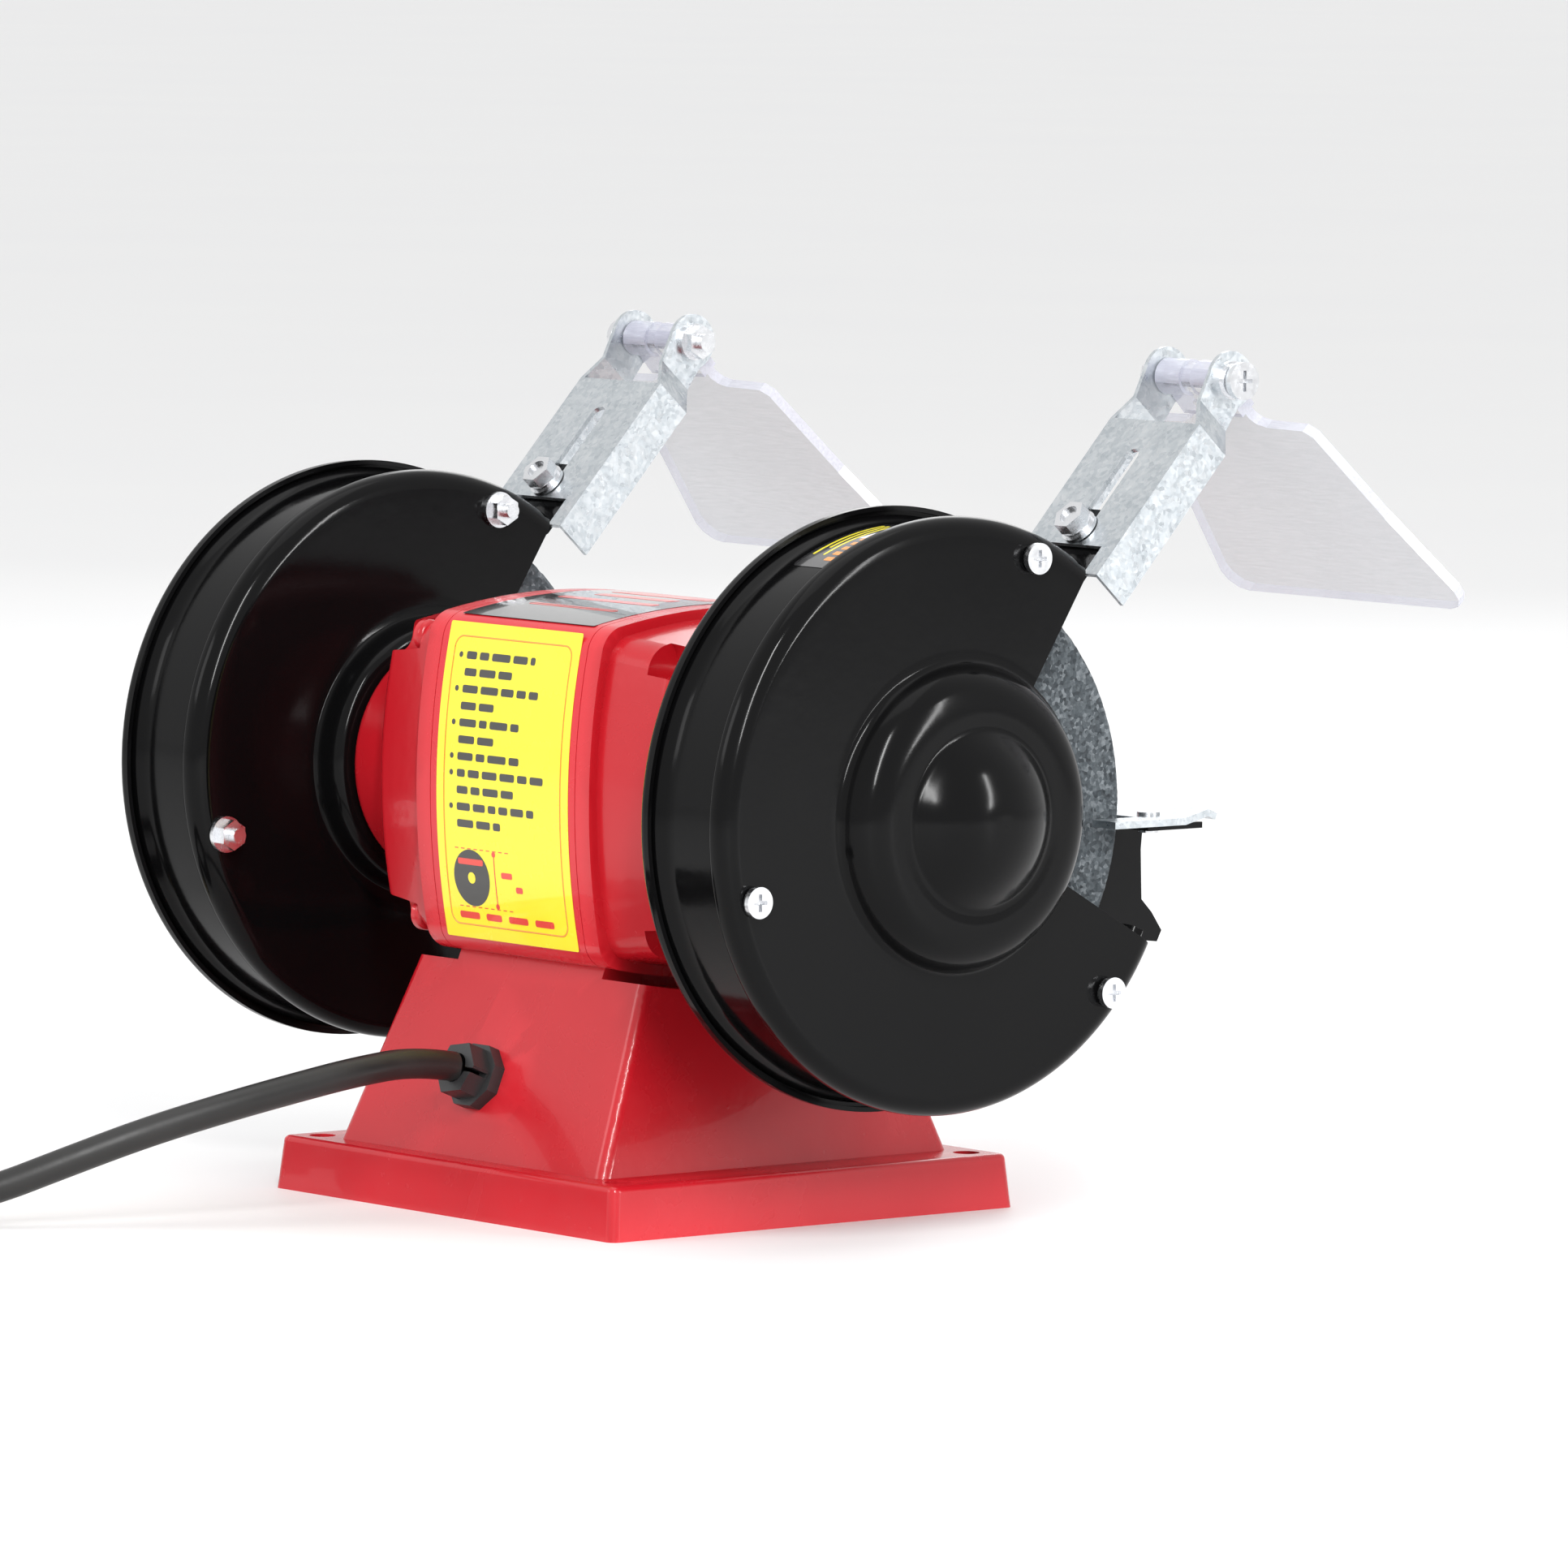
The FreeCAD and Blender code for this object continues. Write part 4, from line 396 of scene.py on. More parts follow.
M_GREY = plastic("can_grey", (0.55, 0.55, 0.53), (0.66, 0.66, 0.64), (0.35, 0.5), 500.0, 0.1)
M_COPPER = metal("copper_wire", (0.72, 0.33, 0.16), (0.3, 0.45), 0.15, 500.0, 0.6, (1.0, 60.0, 60.0))
M_BRASS = metal("plug_brass", (0.80, 0.64, 0.30), (0.18, 0.32), 0.08, 260.0, 0.1)

SLOT_MAT = {
    "red_paint": M_RED, "black_paint": M_BLACK, "zinc_sheet": M_ZINC, "zinc_hardware": M_HARD, "steel": M_STEEL,
    "laminations": M_LAM, "copper": M_COPPER, "abrasive": M_GRIT, "paper": M_PAPER, "clear_plastic": M_CLEAR,
    "black_plastic": M_NYLON, "cord_rubber": M_CORD, "switch_green": M_GREEN, "can_grey": M_GREY, "pins": M_BRASS}
NODE_SLOT = {s["node"]: s["material_slot"] for s in frame["record"]["subparts"]}

# --------------------------------------------------------------- the cord
CORD_R = 0.0039
ROUTE = [(5.0, 59.0, 37.5), (6.0, 71.0, 39.6), (8.0, 89.0, 37.6), (12.0, 106.0, 34.0), (17.0, 124.5, 29.6), (24.0, 143.6, 24.0),
         (33.0, 161.5, 16.8), (43.5, 178.0, 9.2), (55.0, 194.5, 4.5), (68.5, 214.2, 3.9)]
TAIL = [(174.5, 212.0, 11.6), (178.7, 195.5, 12.0), (182.0, 179.0, 10.6), (184.6, 164.5, 9.2)]
COIL = (125.3, 202.7)
TURNS = [(0.0, 53.6, 3.9), (330.0, 53.6, 3.9), (372.0, 45.6, 3.9), (690.0, 45.6, 3.9), (735.0, 37.6, 3.9), (820.0, 37.6, 3.9),
         (865.0, 41.6, 10.8), (1170.0, 41.6, 10.7), (1215.0, 49.6, 10.7), (1555.6, 49.6, 10.7)]


def coil_points():
    pts = []
    n = 104
    for i in range(n + 1):
        a = 1555.6 * i / n
        for (a0, r0, z0), (a1, r1, z1) in zip(TURNS, TURNS[1:]):
            if a <= a1 + 1e-6:
                u = (a - a0) / (a1 - a0)
                u = u * u * (3 - 2 * u)
                r, z = r0 + (r1 - r0) * u, z0 + (z1 - z0) * u
                break
        r = r / 0.992 + 0.25 * math.sin(i * 1.7) * (1 if 2 < i < n - 2 else 0)
        th = math.radians(145.6 - a)
        pts.append((COIL[0] + r * math.cos(th), COIL[1] + r * math.sin(th), z))
    return pts


cord_pts = ROUTE + coil_points() + TAIL
curve = bpy.data.curves.new("mains_lead", "CURVE")
curve.dimensions = "3D"
sp = curve.splines.new("NURBS")
sp.points.add(len(cord_pts) - 1)
for pt, c in zip(sp.points, cord_pts):
    pt.co = (c[0] * MM, c[1] * MM, c[2] * MM, 1.0)
sp.order_u = 3
sp.use_endpoint_u = True
sp.resolution_u = 8
curve.bevel_depth = CORD_R
curve.bevel_resolution = 7
curve.use_fill_caps = True
lead = link(bpy.data.objects.new("mains_lead", curve))
curve.materials.append(M_CORD)
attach(lead, "housing")
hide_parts("power_cord", "cord_coil", "cord_tail")


# ------------------------------------------------- carried-over CAD pieces
for name, obj in NODES.items():
    obj.data.materials.clear()
    obj.data.materials.append(SLOT_MAT[NODE_SLOT[name]])
    obj.data.polygons.foreach_set("use_smooth", [True] * len(obj.data.polygons))


SH = 109.0


def shaft_point(x, r, deg):
    """A point round the shaft: angle from the front (-Y) towards the top."""
    t = math.radians(deg)
    return Vector((x, -r * math.cos(t), SH + r * math.sin(t))) * MM


def arc_pts(x0, r0, x1, r1, bulge, n):
    out = []
    dx, dr = x1 - x0, r1 - r0
    ln = math.hypot(dx, dr)
    for k in range(1, n):
        u = k / n
        h = 4 * bulge * u * (1 - u)
        out.append((x0 + dx * u - dr / ln * h, r0 + dr * u + dx / ln * h))
    return out


def dense(pts, step=1.2, soft=2):
    """Resample a profile evenly and round its corners a little."""
    out = [pts[0]]
    for a, b in zip(pts, pts[1:]):
        d = math.hypot(b[0] - a[0], b[1] - a[1])
        n = max(1, int(math.ceil(d / step)))
        for k in range(1, n + 1):
            out.append((a[0] + (b[0] - a[0]) * k / n, a[1] + (b[1] - a[1]) * k / n))
    for _ in range(soft):
        q = [out[0]]
        for i in range(1, len(out) - 1):
            q.append(((out[i - 1][0] + 2 * out[i][0] + out[i + 1][0]) / 4, (out[i - 1][1] + 2 * out[i][1] + out[i + 1][1]) / 4))
        q.append(out[-1])
        out = q
    return out


# ----------------------------------------------------------------- guards
def edge_angle(line, r):
    """Angle at which a straight cut edge (point, direction; front/up plane) meets radius r."""
    (px, py), (dx, dy) = line
    n = math.hypot(dx, dy)
    dx, dy = dx / n, dy / n
    bq = px * dx + py * dy
    cq = px * px + py * py - r * r
    s = -bq + math.sqrt(max(0.0, bq * bq - cq))
    return math.degrees(math.atan2(py + s * dy, px + s * dx))


UPPER = ((24.2, 31.8), (17.7, 28.3))
LOWER = ((37.1, -19.4), (30.0, -17.0))
UPPER_DRUM = ((24.2 + 0.848 * 1.4, 31.8 - 0.53 * 1.4), (17.7, 28.3))
LOWER_DRUM = ((37.1 + 0.493 * 3.5, -19.4 + 0.87 * 3.5), (30.0, -17.0))
LEVEL = ((15.0, -9.0), (1.0, 0.0))
RIM = 40.5


def pressing(name, profile, cut_at, base_x, direction, thickness, wave=0.0, seed=1, hole=0.0):
    """A pressed guard half as one outer skin: full rings inside RIM, a sector
    outside it, then thickness. profile: (x, r) from centre to edge, x from base."""
    n_keep, n_open = 150, 50
    inside = [p for p in profile if p[1] < RIM - 0.4 and p[0] is not None]
    k = next(i for i, p in enumerate(profile) if p[1] >= RIM - 0.4)
    inner, outer = profile[:k], profile[k:]
    outer = [(outer[0][0], RIM)] + [p for p in outer if p[1] > RIM + 0.3 or p[0] > 3]
    verts, faces = [], []
    rnd = random.Random(seed)
    ph = rnd.random() * 6.28

    def pos(x, r, deg, amount):
        w = amount * (0.5 * math.sin(math.radians(deg) * 2 + ph) + 0.3 * math.sin(math.radians(deg) * 5 + ph * 2))
        return shaft_point(base_x + direction * x, r + w, deg)

    up0, lo0 = edge_angle(cut_at(0.0)[0], RIM), edge_angle(cut_at(0.0)[1], RIM)
    keep = [up0 + (360.0 - (up0 - lo0)) * j / n_keep for j in range(n_keep + 1)]
    gap = [lo0 + (up0 - lo0) * j / n_open for j in range(1, n_open)]
    ring_angles = keep + [a + 360.0 for a in gap]
    full = len(ring_angles)
    rings = []
    if hole <= 0:
        verts.append(pos(inner[0][0], 0.0, 0.0, 0.0))
        start = 1
    else:
        start = 0
    for p in inner[start:]:
        rings.append(len(verts))
        verts.extend(pos(p[0], p[1], a, 0.0) for a in ring_angles)
    rings.append(len(verts))
    verts.extend(pos(outer[0][0], RIM, a, 0.0) for a in ring_angles)
    if hole <= 0:
        for j in range(full):
            faces.append((0, rings[0] + j, rings[0] + (j + 1) % full))
    for a, b in zip(rings, rings[1:]):
        for j in range(full):
            j2 = (j + 1) % full
            faces.append((a + j, b + j, b + j2, a + j2))
    last = rings[-1]
    for p in outer[1:]:
        (upl, lol) = cut_at(p[0])
        up, lo = edge_angle(upl, p[1]), edge_angle(lol, p[1])
        here = len(verts)
        amt = wave * max(0.0, min(1.0, (abs(p[0]) - 7.0) / 20.0)) if wave else 0.0
        for j in range(n_keep + 1):
            a = up + (360.0 - (up - lo)) * j / n_keep
            verts.append(pos(p[0], p[1], a, amt))
        for j in range(n_keep):
            faces.append((last + j, here + j, here + j + 1, last + j + 1))
        last = here
    obj = mesh_object(name, verts, faces, [M_BLACK])
    fix_normals(obj)
    # the wheel side is where the thickness goes
    c = sum((Vector(v.co) for v in obj.data.vertices), Vector()) / len(obj.data.vertices)
    f0 = max(obj.data.polygons, key=lambda f: f.area)
    solidify(obj, thickness * MM, -1.0)
    return obj


def wants_flip(obj, axis_sign):
    """Flip so the skin's flat faces look along axis_sign * X."""
    s = sum(f.normal.x * f.area for f in obj.data.polygons if abs(f.normal.x) > 0.9)
    if s * axis_sign < 0:
        bm = bmesh.new()
        bm.from_mesh(obj.data)
        bmesh.ops.reverse_faces(bm, faces=bm.faces)
        bm.to_mesh(obj.data)
        bm.free()
        obj.data.update()


DRUM = [(0.0, 71.0)] + [(5.0 * (1 - math.cos(math.radians(a))), 71.0 + 5.0 * math.sin(math.radians(a))) for a in range(10, 90, 10)] + \
       [(5.0, 76.0), (6.3, 76.0), (7.0, 75.2), (7.6, 73.3), (8.4, 73.0), (25.0, 73.0), (26.6, 73.4), (28.5, 74.5), (29.6, 75.0), (31.0, 75.2)]
DOME = [(-18.7, 0.0)] + arc_pts(-18.7, 0.0, -11.2, 20.6, 2.3, 12) + [(-11.2, 20.6), (-10.2, 21.8), (-9.25, 22.8), (-9.35, 24.5), (-9.5, 26.5), (-9.45, 29.0)] + \
       arc_pts(-9.45, 29.0, -1.2, 38.9, 2.3, 9) + [(-1.2, 38.9), (-0.3, 39.9)]
SEAT = [(-9.5, 12.0), (-9.5, 32.5)] + arc_pts(-9.5, 32.5, -6.5, 36.2, 0.9, 6) + [(-6.5, 36.2), (-1.5, 37.0), (-0.3, 37.9)]


def cup_cut(x):
    return (UPPER, LOWER) if x < 6.6 else (UPPER_DRUM, LOWER_DRUM)


def back_cut(x):
    return (UPPER, LEVEL)


def screw_hole_tools(x0, x1, name, circle=69.0, r=2.15, angles=(70.0, 195.0, -43.0)):
    out = []
    for k, a in enumerate(angles):
        bm = bmesh.new()
        bmesh.ops.create_cone(bm, cap_ends=True, segments=24, radius1=r * MM, radius2=r * MM, depth=(x1 - x0) * MM)
        me = bpy.data.meshes.new(name)
        bm.to_mesh(me)
        bm.free()
        o = link(bpy.data.objects.new(name, me))
        o.matrix_world = Matrix.Translation(shaft_point((x0 + x1) / 2, circle, a)) @ Matrix.Rotation(math.pi / 2, 4, "Y")
        out.append(o)
    return out


def finish_pressing(obj, side_sign, cad, body="housing"):
    bake(obj)
    sharp_by_angle(obj, 50.0)
    bevel(obj, 0.32 * MM, 2, 50.0)
    bake(obj)
    sharp_by_angle(obj, 60.0)
    weighted(obj)
    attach(obj, body)
    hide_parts(cad)


for name, cad, base_x, hub, seed in (("left_cover_skin", "left_guard_cover", -125.3, DOME, 3), ("right_cup_skin", "right_guard_back", 94.2, SEAT, 5)):
    prof = dense(hub, 1.0, 1) + dense([(0.0, 40.0), (0.0, 71.0)], 3.0, 0)[1:] + DRUM[1:9] + dense(DRUM[8:], 1.0, 1)[1:]
    g = pressing(name, prof, cup_cut, base_x, 1.0, 1.2, 0.35, seed, hole=12.0 if hub is SEAT else 0.0)
    wants_flip(g, -1.0)
    # the welded tab that carries the eye-shield bracket
    cx = -108.75 if base_x < 0 else 110.75
    web = math.atan2(0.739, 0.674)
    loc = Matrix.Translation(Vector((cx, -44.5, 169.0)) * MM) @ Matrix.Rotation(math.pi - web, 4, "X")
    side = [(-3.0, -2.2), (-1.4, -2.2), (-1.3, 0.6), (-0.9, 1.35), (-0.2, 1.6), (22.0, 1.6), (22.0, 3.2), (-0.8, 3.2), (-2.2, 2.6), (-2.9, 1.4)]
    verts = [loc @ (Vector((x, p[0], p[1])) * MM) for x in (-10.0, 10.0) for p in side]
    m = len(side)
    faces = [tuple(range(m)), tuple(range(2 * m - 1, m - 1, -1))] + [(i, i + m, (i + 1) % m + m, (i + 1) % m) for i in range(m)]
    tab = mesh_object(name + "_tab", verts, faces, [M_BLACK])
    fix_normals(tab)
    bevel(tab, 0.4 * MM, 3)
    bake(tab)
    sharp_by_angle(tab, 60.0)
    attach(tab, "housing")
    finish_pressing(g, -1.0, cad)

EDGE = [(0.0, 76.2), (0.05, 76.8), (-0.35, 77.2), (-0.9, 77.25), (-2.0, 77.2)]
back_seat = [(9.6, 12.0), (9.6, 32.5)] + [(a, c) for a, c in arc_pts(9.6, 32.5, 6.6, 36.2, -0.9, 6)] + [(6.6, 36.2), (2.4, 37.0), (1.5, 37.9)]
back_dome = [(1.2 - a, c) for a, c in DOME]
for name, cad, base_x, hub, seed in (("left_plate_skin", "left_guard_back", -94.3, back_seat, 7), ("right_plate_skin", "right_guard_cover", 125.2, back_dome, 9)):
    prof = dense(hub, 1.0, 1) + dense([(1.2, 40.0), (1.2, 75.4)], 3.0, 0)[1:] + [(1.15, 76.4), (0.8, 77.0), (0.2, 77.25), (-0.6, 77.3), (-2.0, 77.25)]
    g = pressing(name, [(p[0], p[1]) for p in prof], back_cut, base_x, 1.0, 1.2, 0.0, seed, hole=12.0 if hub is back_seat else 0.0)
    wants_flip(g, 1.0)
    finish_pressing(g, 1.0, cad)


# ----------------------------------------------------------------- wheels
def grinding_wheel(name, cad, cx, seed):
    """Wheel with a gritty, slightly broken surface in its geometry."""
    n = 420
    prof = [(-8.0, 6.4), (-8.0, 14.0), (-8.0, 22.0), (-8.0, 30.0)] + [(-8.0, 30.0 + 2.0 * k) for k in range(1, 16)] + \
           [(-8.0, 61.2), (-8.0, 62.3), (-7.75, 63.0), (-7.2, 63.45)] + [(-6.2 + 1.24 * k, 63.5) for k in range(0, 11)] + \
           [(7.2, 63.45), (7.75, 63.0), (8.0, 62.3), (8.0, 61.2)] + [(8.0, 60.0 - 2.0 * k) for k in range(0, 15)] + [(8.0, 30.0), (8.0, 22.0), (8.0, 14.0), (8.0, 6.4)]
    verts, faces = [], []
    off = Vector((seed * 3.1, seed * 1.7, seed * 0.9))
    for p in prof:
        nx = -1.0 if p[0] <= -7.9 else (1.0 if p[0] >= 7.9 else 0.0)
        nr = 0.0 if nx and p[1] < 62.0 else 1.0
        for j in range(n):
            a = 360.0 * j / n
            base = shaft_point(cx + p[0], p[1], a)
            amp = 0.0 if p[1] < 23.0 else 1.0
            q = base * 1000.0
            d = noise.noise(q * 1.1 + off) * 0.16 + noise.noise(q * 0.45 + off) * 0.10 + min(0.0, noise.noise(q * 2.3 + off)) * 0.22
            d *= amp
            if nr:
                d = min(0.05, d)
            verts.append(shaft_point(cx + p[0] + nx * min(0.05, d), p[1] + nr * d, a))
    m = len(prof)
    for i in range(m):
        for j in range(n):
            j2 = (j + 1) % n
            i2 = (i + 1) % m
            faces.append((i * n + j, i2 * n + j, i2 * n + j2, i * n + j2))
    obj = mesh_object(name, verts, faces, [M_GRIT])
    fix_normals(obj)
    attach(obj, "rotor")
    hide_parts(cad)
    return obj


grinding_wheel("left_wheel_grit", "left_grinding_wheel", -106.25, 2)
grinding_wheel("right_wheel_grit", "right_grinding_wheel", 106.25, 5)

# -------------------------------------------------------- edges on CAD parts
SMALL = ("screws", "bolts", "nuts", "nut", "screw", "washers", "rivets", "pins", "clamp")
for name, obj in NODES.items():
    if obj.hide_render:
        continue
    sharp_by_angle(obj, 28.0)
    w = 0.18
    if name in ("base_casting",):
        w = 0.9
    elif name in ("motor_shell", "left_end_bell", "right_end_bell"):
        w = 0.5
    elif name.endswith("shield_bracket") or name.endswith("rest_plate") or name.endswith("rest_bracket"):
        w = 0.22
    elif name.endswith("eye_shield"):
        w = 0.55
    elif name == "plug_body":
        w = 1.3
    # the shield's edge faces get the lighter edge material: a painted highlight along the plate edges, plus the
    # plastic's own bluish tint
    if name.endswith("eye_shield"):
        obj.data.materials.append(M_CLEAR_EDGE_HIGHLIGHT)
        top = max(obj.data.polygons, key=lambda f: f.area).normal
        for f in obj.data.polygons:
            if abs(f.normal.dot(top)) < 0.9:
                f.material_index = 1
    bevel(obj, w * MM, 2, 28.0)
    weighted(obj)

# the tie: a soft strap pulled round the coil
def strap_loop(name, cx, cy, mid, a, b, zc, deg, wide, thick):
    t = math.radians(deg)
    rad, tan = Vector((math.cos(t), math.sin(t), 0.0)), Vector((-math.sin(t), math.cos(t), 0.0))
    n, verts, faces = 72, [], []
    for k in range(n):
        u = 2 * math.pi * k / n
        c, q = math.cos(u), math.sin(u)
        x = a * math.copysign(abs(c) ** 0.55, c)
        y = b * math.copysign(abs(q) ** 0.55, q)
        for w, th in ((-wide / 2, 0.0), (-wide / 2 + 0.4, thick), (wide / 2 - 0.4, thick), (wide / 2, 0.0), (wide / 2 - 0.4, -0.1), (-wide / 2 + 0.4, -0.1)):
            f = 1.0 + th / a
            g = 1.0 + th / b
            p = Vector((cx, cy, 0.0)) + rad * (mid + x * f) + tan * (w + 0.35 * math.sin(u * 3.0))
            verts.append(Vector((p.x, p.y, max(0.06, zc + y * g))) * MM)
    for k in range(n):
        for j in range(6):
            faces.append((k * 6 + j, k * 6 + (j + 1) % 6, ((k + 1) % n) * 6 + (j + 1) % 6, ((k + 1) % n) * 6 + j))
    return mesh_object(name, verts, faces, [M_NYLON])


tie = strap_loop("tie_strap", 125.3, 202.7, 44.4, 13.7, 7.2, 7.5, -60.0, 5.0, 0.8)
fix_normals(tie)
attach(tie, "housing")
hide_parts("cord_tie")

# ------------------------------------------------------------------ labels
M_YELLOW = plastic("label_yellow", (0.83, 0.66, 0.010), (0.90, 0.73, 0.016), (0.22, 0.34), 160.0, 0.02, 0.6)
M_LINE = plastic("label_orange", (0.78, 0.19, 0.012), (0.86, 0.24, 0.018), (0.24, 0.36), 160.0, 0.02, 0.6)
M_INK = plastic("label_ink", (0.018, 0.017, 0.015), (0.030, 0.028, 0.026), (0.26, 0.40), 160.0, 0.02, 0.6)
M_MARK = plastic("label_red", (0.60, 0.030, 0.020), (0.70, 0.042, 0.026), (0.24, 0.36), 160.0, 0.02, 0.6)
M_DARK = plastic("label_black", (0.010, 0.010, 0.011), (0.018, 0.018, 0.019), (0.10, 0.20), 160.0, 0.02, 0.8)

SIDE_R = 188.8


def back_side(x, z, lift):
    """A point on the motor shell's back side, z from the shaft."""
    y = 48.0 - (SIDE_R - math.sqrt(SIDE_R * SIDE_R - z * z))
    return Vector((x, y + lift, SH + z)) * MM


def top_side(x, y, lift):
    z = 48.0 - (SIDE_R - math.sqrt(SIDE_R * SIDE_R - y * y))
    return Vector((x, y, SH + z + lift)) * MM


def flat_patch(name, outline_pts, place_at, lift, mat, thick=0.05):
    """A thin closed film cut to an outline, following a curved side."""
    bm = bmesh.new()
    vs = [bm.verts.new((p[0], p[1], 0.0)) for p in outline_pts]
    bm.faces.new(vs)
    zs = sorted(p[1] for p in outline_pts)
    lo, hi = zs[0], zs[-1]
    n = max(1, int((hi - lo) / 3.0))
    for k in range(1, n):
        c = lo + (hi - lo) * k / n
        bmesh.ops.bisect_plane(bm, geom=bm.verts[:] + bm.edges[:] + bm.faces[:], plane_co=(0, c, 0), plane_no=(0, 1, 0))
    bm.verts.index_update()
    pts = [(v.co.x, v.co.y) for v in bm.verts]
    fs = [[v.index for v in f.verts] for f in bm.faces]
    border = [[v.index for v in e.verts] for e in bm.edges if len(e.link_faces) == 1]
    bm.free()
    m = len(pts)
    verts = [place_at(p[0], p[1], lift) for p in pts] + [place_at(p[0], p[1], lift - thick) for p in pts]
    faces = fs + [[i + m for i in f[::-1]] for f in fs] + [[a, b, b + m, a + m] for a, b in border]
    obj = mesh_object(name, verts, faces, [mat])
    fix_normals(obj)
    sharp_by_angle(obj, 40.0)
    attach(obj, "housing")
    return obj


def rounded(x0, z0, x1, z1, r, n=6):
    out = []
    for cx, cz, a0 in ((x1 - r, z1 - r, 0), (x0 + r, z1 - r, 90), (x0 + r, z0 + r, 180), (x1 - r, z0 + r, 270)):
        for k in range(n + 1):
            a = math.radians(a0 + 90.0 * k / n)
            out.append((cx + r * math.cos(a), cz + r * math.sin(a)))
    return out


def ellipse(cx, cz, rx, rz, n=40):
    return [(cx + rx * math.cos(2 * math.pi * k / n), cz + rz * math.sin(2 * math.pi * k / n)) for k in range(n)]


def film(name, pts, at, lift, mat):
    return flat_patch(name, pts, at, lift, mat, 0.05)


film("back_label", rounded(-27.4, -40.0, 27.4, 42.0, 0.6), back_side, 0.10, M_YELLOW)
# a thin border line: one strip following the rounded outline
def line_strip(name, pts, width, at, lift, mat):
    left, right = [], []
    for i, p in enumerate(pts):
        a, b = pts[max(0, i - 1)], pts[min(len(pts) - 1, i + 1)]
        d = Vector((b[0] - a[0], b[1] - a[1])).normalized()
        left.append((p[0] - d.y * width / 2, p[1] + d.x * width / 2))
        right.append((p[0] + d.y * width / 2, p[1] - d.x * width / 2))
    n = len(pts)
    top = [at(q[0], q[1], lift) for q in left] + [at(q[0], q[1], lift) for q in right]
    low = [at(q[0], q[1], lift - 0.05) for q in left] + [at(q[0], q[1], lift - 0.05) for q in right]
    f = []
    for i in range(n - 1):
        f += [(i, i + 1, n + i + 1, n + i), (2 * n + i, 3 * n + i, 3 * n + i + 1, 2 * n + i + 1),
              (i, 2 * n + i, 2 * n + i + 1, i + 1), (n + i, n + i + 1, 3 * n + i + 1, 3 * n + i)]
    f += [(0, n, 3 * n, 2 * n), (n - 1, 3 * n - 1, 4 * n - 1, 2 * n - 1)]
    obj = mesh_object(name, top + low, f, [mat])
    fix_normals(obj)
    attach(obj, "housing")
    return obj


border = rounded(-24.2, -36.4, 24.2, 38.4, 3.0, 8)
dense_border = []
for a, b in zip(border, border[1:] + border[:1]):
    steps = max(1, int(math.hypot(b[0] - a[0], b[1] - a[1]) / 2.5))
    dense_border += [(a[0] + (b[0] - a[0]) * k / steps, a[1] + (b[1] - a[1]) * k / steps) for k in range(steps)]
line_strip("back_label_border", dense_border + dense_border[:1], 0.42, back_side, 0.15, M_LINE)

# generic rows: a dot and plain bars in place of lettering; seen from the back, +X is to the left
rnd = random.Random(41)
z = 33.6
row = 0
for lines in (2, 2, 2, 1, 2, 2):
    film("back_dot_%d" % row, ellipse(21.2, z, 0.75, 0.75, 16), back_side, 0.155, M_INK)
    for k in range(lines):
        x = 18.8
        stop = 18.8 - (rnd.uniform(24.0, 36.0) if k == 0 else rnd.uniform(12.0, 26.0))
        w = 0
        while x > stop:
            ln = rnd.uniform(3.0, 8.0)
            e = max(x - ln, stop)
            if x - e > 1.2:
                film("back_bar_%d_%d_%d" % (row, k, w), rounded(e, z - 1.0, x, z + 1.0, 0.55, 3), back_side, 0.155, M_INK)
            x = e - 1.3
            w += 1
        z -= 4.35
    row += 1
# plain disc graphic with a dimension line
film("back_disc", ellipse(14.0, -24.0, 7.4, 7.4, 48), back_side, 0.155, M_INK)
film("back_disc_hole", ellipse(14.0, -24.0, 1.5, 1.5, 24), back_side, 0.205, M_YELLOW)
film("back_disc_band", rounded(8.8, -20.6, 19.2, -19.0, 0.5, 3), back_side, 0.205, M_MARK)
for zz in (-16.4, -31.6):
    for k in range(9):
        film("back_dash_%d_%d" % (int(-zz), k), rounded(-2.0 + 2.6 * k, zz - 0.12, -0.5 + 2.6 * k, zz + 0.12, 0.1, 2), back_side, 0.155, M_MARK)
film("back_measure", rounded(4.0, -30.6, 4.35, -17.4, 0.1, 2), back_side, 0.155, M_MARK)
for zz in (-17.2, -30.8):
    film("back_measure_end_%d" % int(-zz), ellipse(4.2, zz, 0.75, 0.75, 14), back_side, 0.16, M_MARK)
for k, (a, b) in enumerate(((1.5, -3.0), (-4.2, -7.0))):
    film("back_note_%d" % k, rounded(b, -23.2 - 3.4 * k, a, -21.6 - 3.4 * k, 0.5, 3), back_side, 0.155, M_MARK)
for k, (a, b) in enumerate(((20.6, 12.4), (9.6, 3.2), (0.2, -7.8), (-10.8, -18.6))):
    film("back_rating_%d" % k, rounded(b, -34.8 + 0.0, a, -33.0, 0.6, 3), back_side, 0.155, M_MARK)

film("top_label", rounded(-27.4, -40.0, 27.4, 40.0, 0.6), top_side, 0.10, M_DARK)
for k, (y0, y1, x0, x1) in enumerate(((-14.0, -3.0, -20.0, 20.0), (2.0, 6.0, -16.0, 16.0), (12.0, 15.0, -20.0, 20.0), (24.0, 26.0, -18.0, 18.0))):
    film("top_stripe_%d" % k, rounded(x0, y0, x1, y1, 1.2, 4), top_side, 0.155, M_MARK)

# the factory paints the motor's through bolts with the casing
NODES["tie_bolts"].data.materials.clear()
NODES["tie_bolts"].data.materials.append(M_RED)


# small plain caution film on top of the left guard's drum
def drum_top(x, arc, lift):
    return shaft_point(x, 73.0 + lift, 106.0 + math.degrees(arc / 73.0))


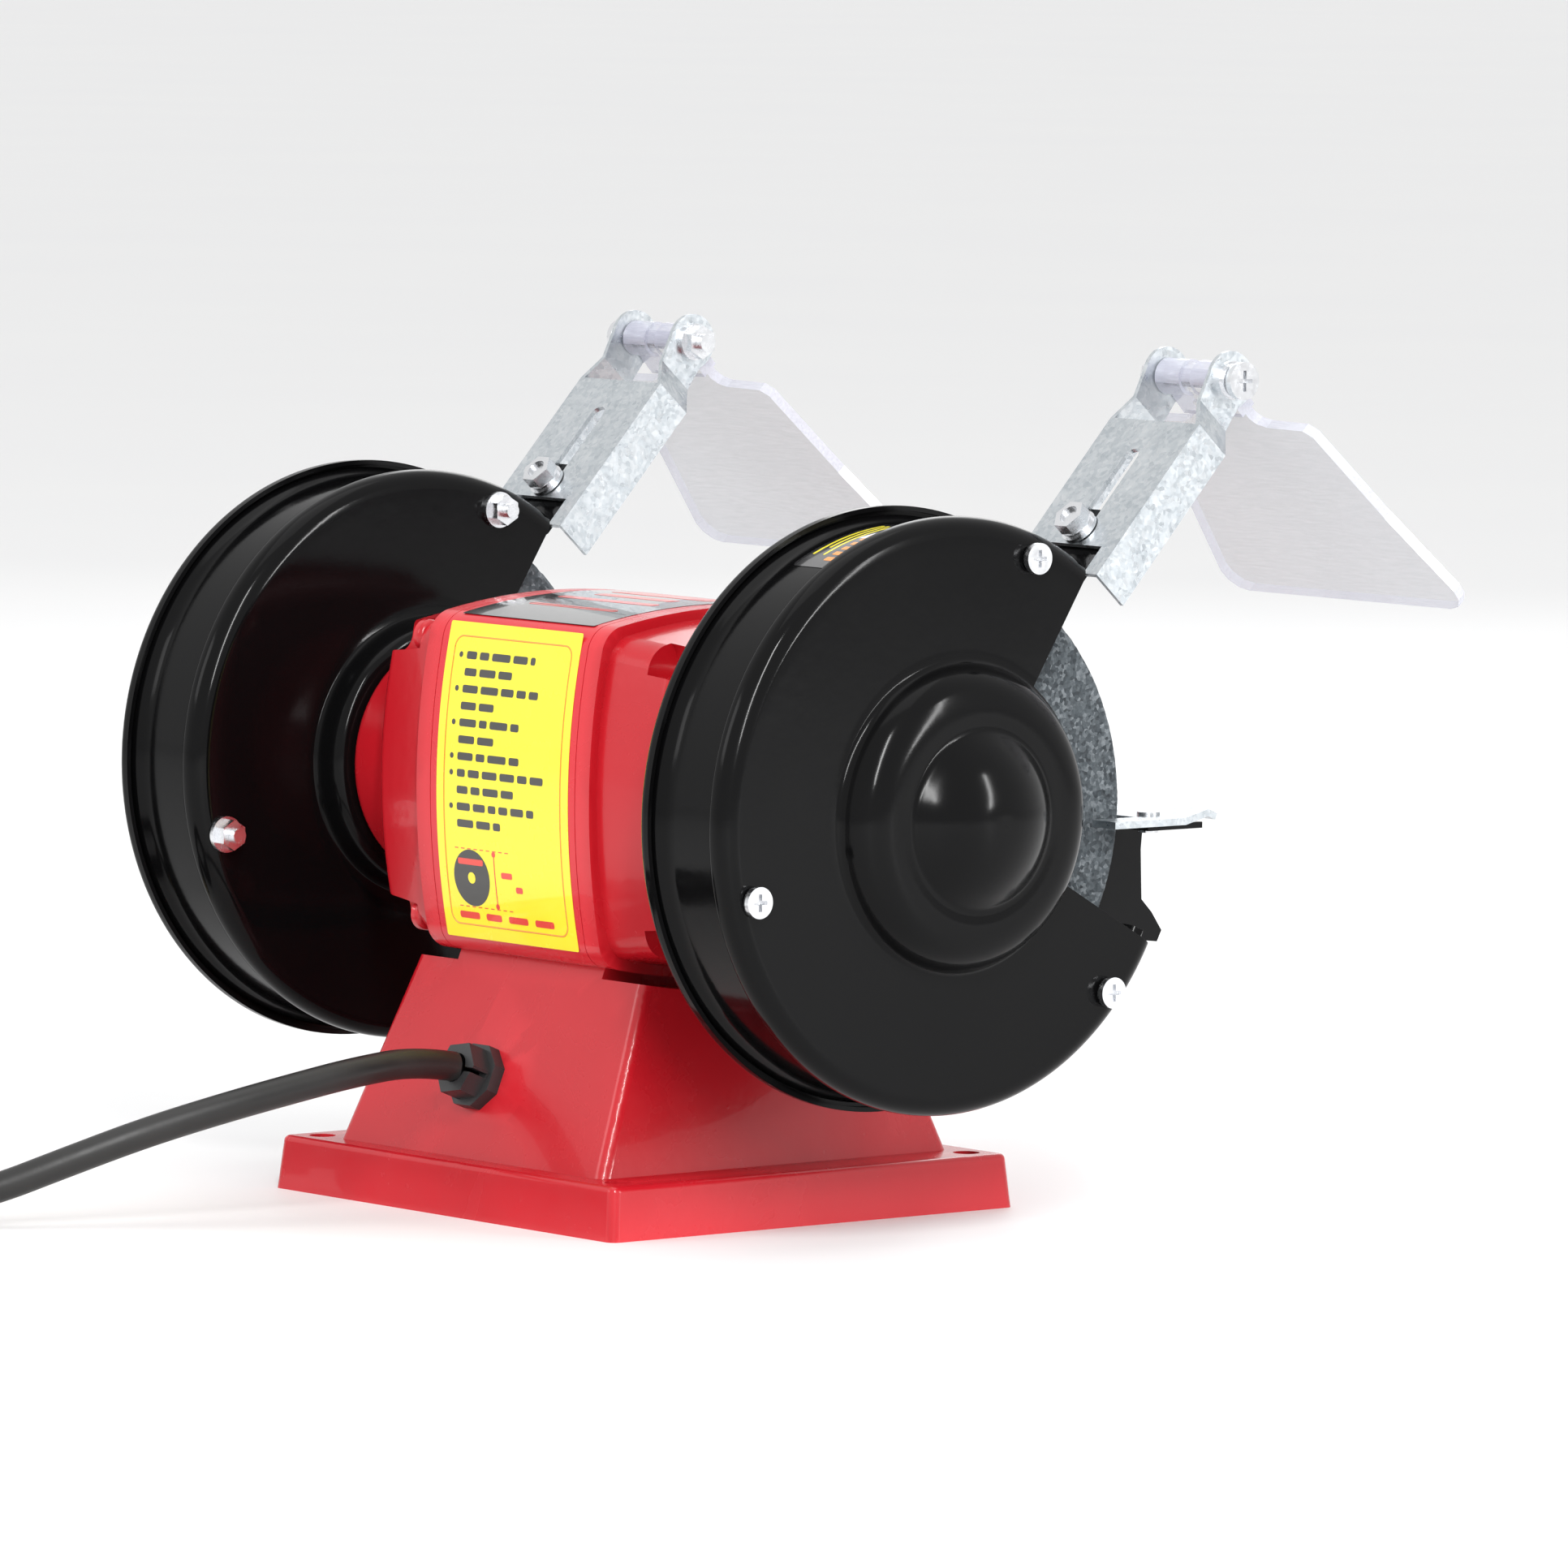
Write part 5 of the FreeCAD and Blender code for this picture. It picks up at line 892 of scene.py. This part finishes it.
for name, pts, lift, mat in [("drum_film", rounded(-117.0, -17.0, -101.5, 17.0, 1.6, 5), 0.12, M_DARK)] + \
        [("drum_film_bar_%d" % k, rounded(-114.6, -13.0 + 3.1 * k, -110.2, -11.2 + 3.1 * k, 0.4, 3), 0.17, M_LINE) for k in range(9)] + \
        [("drum_film_line_%d" % k, rounded(-108.0 + 2.0 * k, -13.0, -107.2 + 2.0 * k, 11.0 - 4.0 * (k % 2), 0.3, 3), 0.17, M_YELLOW) for k in range(3)]:
    o = flat_patch(name, pts, drum_top, lift, mat, 0.05)

# ------------------------------------------------------------ floor, light
floor_me = bpy.data.meshes.new("floor")
floor_me.from_pydata([(-40, -40, 0), (40, -40, 0), (40, 40, 0), (-40, 40, 0)], [], [(0, 1, 2, 3)])
floor = link(bpy.data.objects.new("floor", floor_me))
mf, ntf, bf = new_material("floor_white")
fv = coords(ntf)
ntf.links.new(ramp(ntf, noise_tex(ntf, fv, 3.0, 4.0, 0.5), [(0.3, (0.84, 0.84, 0.845)), (0.7, (0.85, 0.85, 0.85))]), bf.inputs["Base Color"])
bf.inputs["Roughness"].default_value = 0.55
bf.inputs["Specular IOR Level"].default_value = 0.25
floor_me.materials.append(mf)

world = bpy.data.worlds.new("studio")
scene.world = world
world.use_nodes = True
bgn = world.node_tree.nodes.get("Background")
bgn.inputs["Color"].default_value = (1.0, 1.0, 1.0, 1.0)
bgn.inputs["Strength"].default_value = 0.96
scene.view_settings.view_transform = "Standard"


def area(name, loc, target, size_x, size_y, power):
    d = bpy.data.lights.new(name, "AREA")
    d.shape = "RECTANGLE"
    d.size, d.size_y, d.energy = size_x, size_y, power
    o = link(bpy.data.objects.new(name, d))
    o.location = loc
    o.rotation_euler = (Vector(target) - Vector(loc)).to_track_quat("-Z", "Y").to_euler()
    return o


TARGET = (0.0, 0.0, 0.11)
area("key_strip", (-1.55, 1.05, 1.25), (0.0, 0.0, 0.13), 0.13, 1.2, 30.0)
area("rear_soft", (0.9, 1.9, 1.1), TARGET, 0.8, 0.8, 6.0)
area("front_strip", (-1.7, -0.75, 0.75), (-0.1, 0.0, 0.12), 0.10, 1.0, 14.0)
area("over", (0.1, 0.1, 2.0), TARGET, 1.5, 1.2, 5.0)
area("front_soft", (1.3, -1.4, 1.0), TARGET, 0.8, 0.9, 4.0)
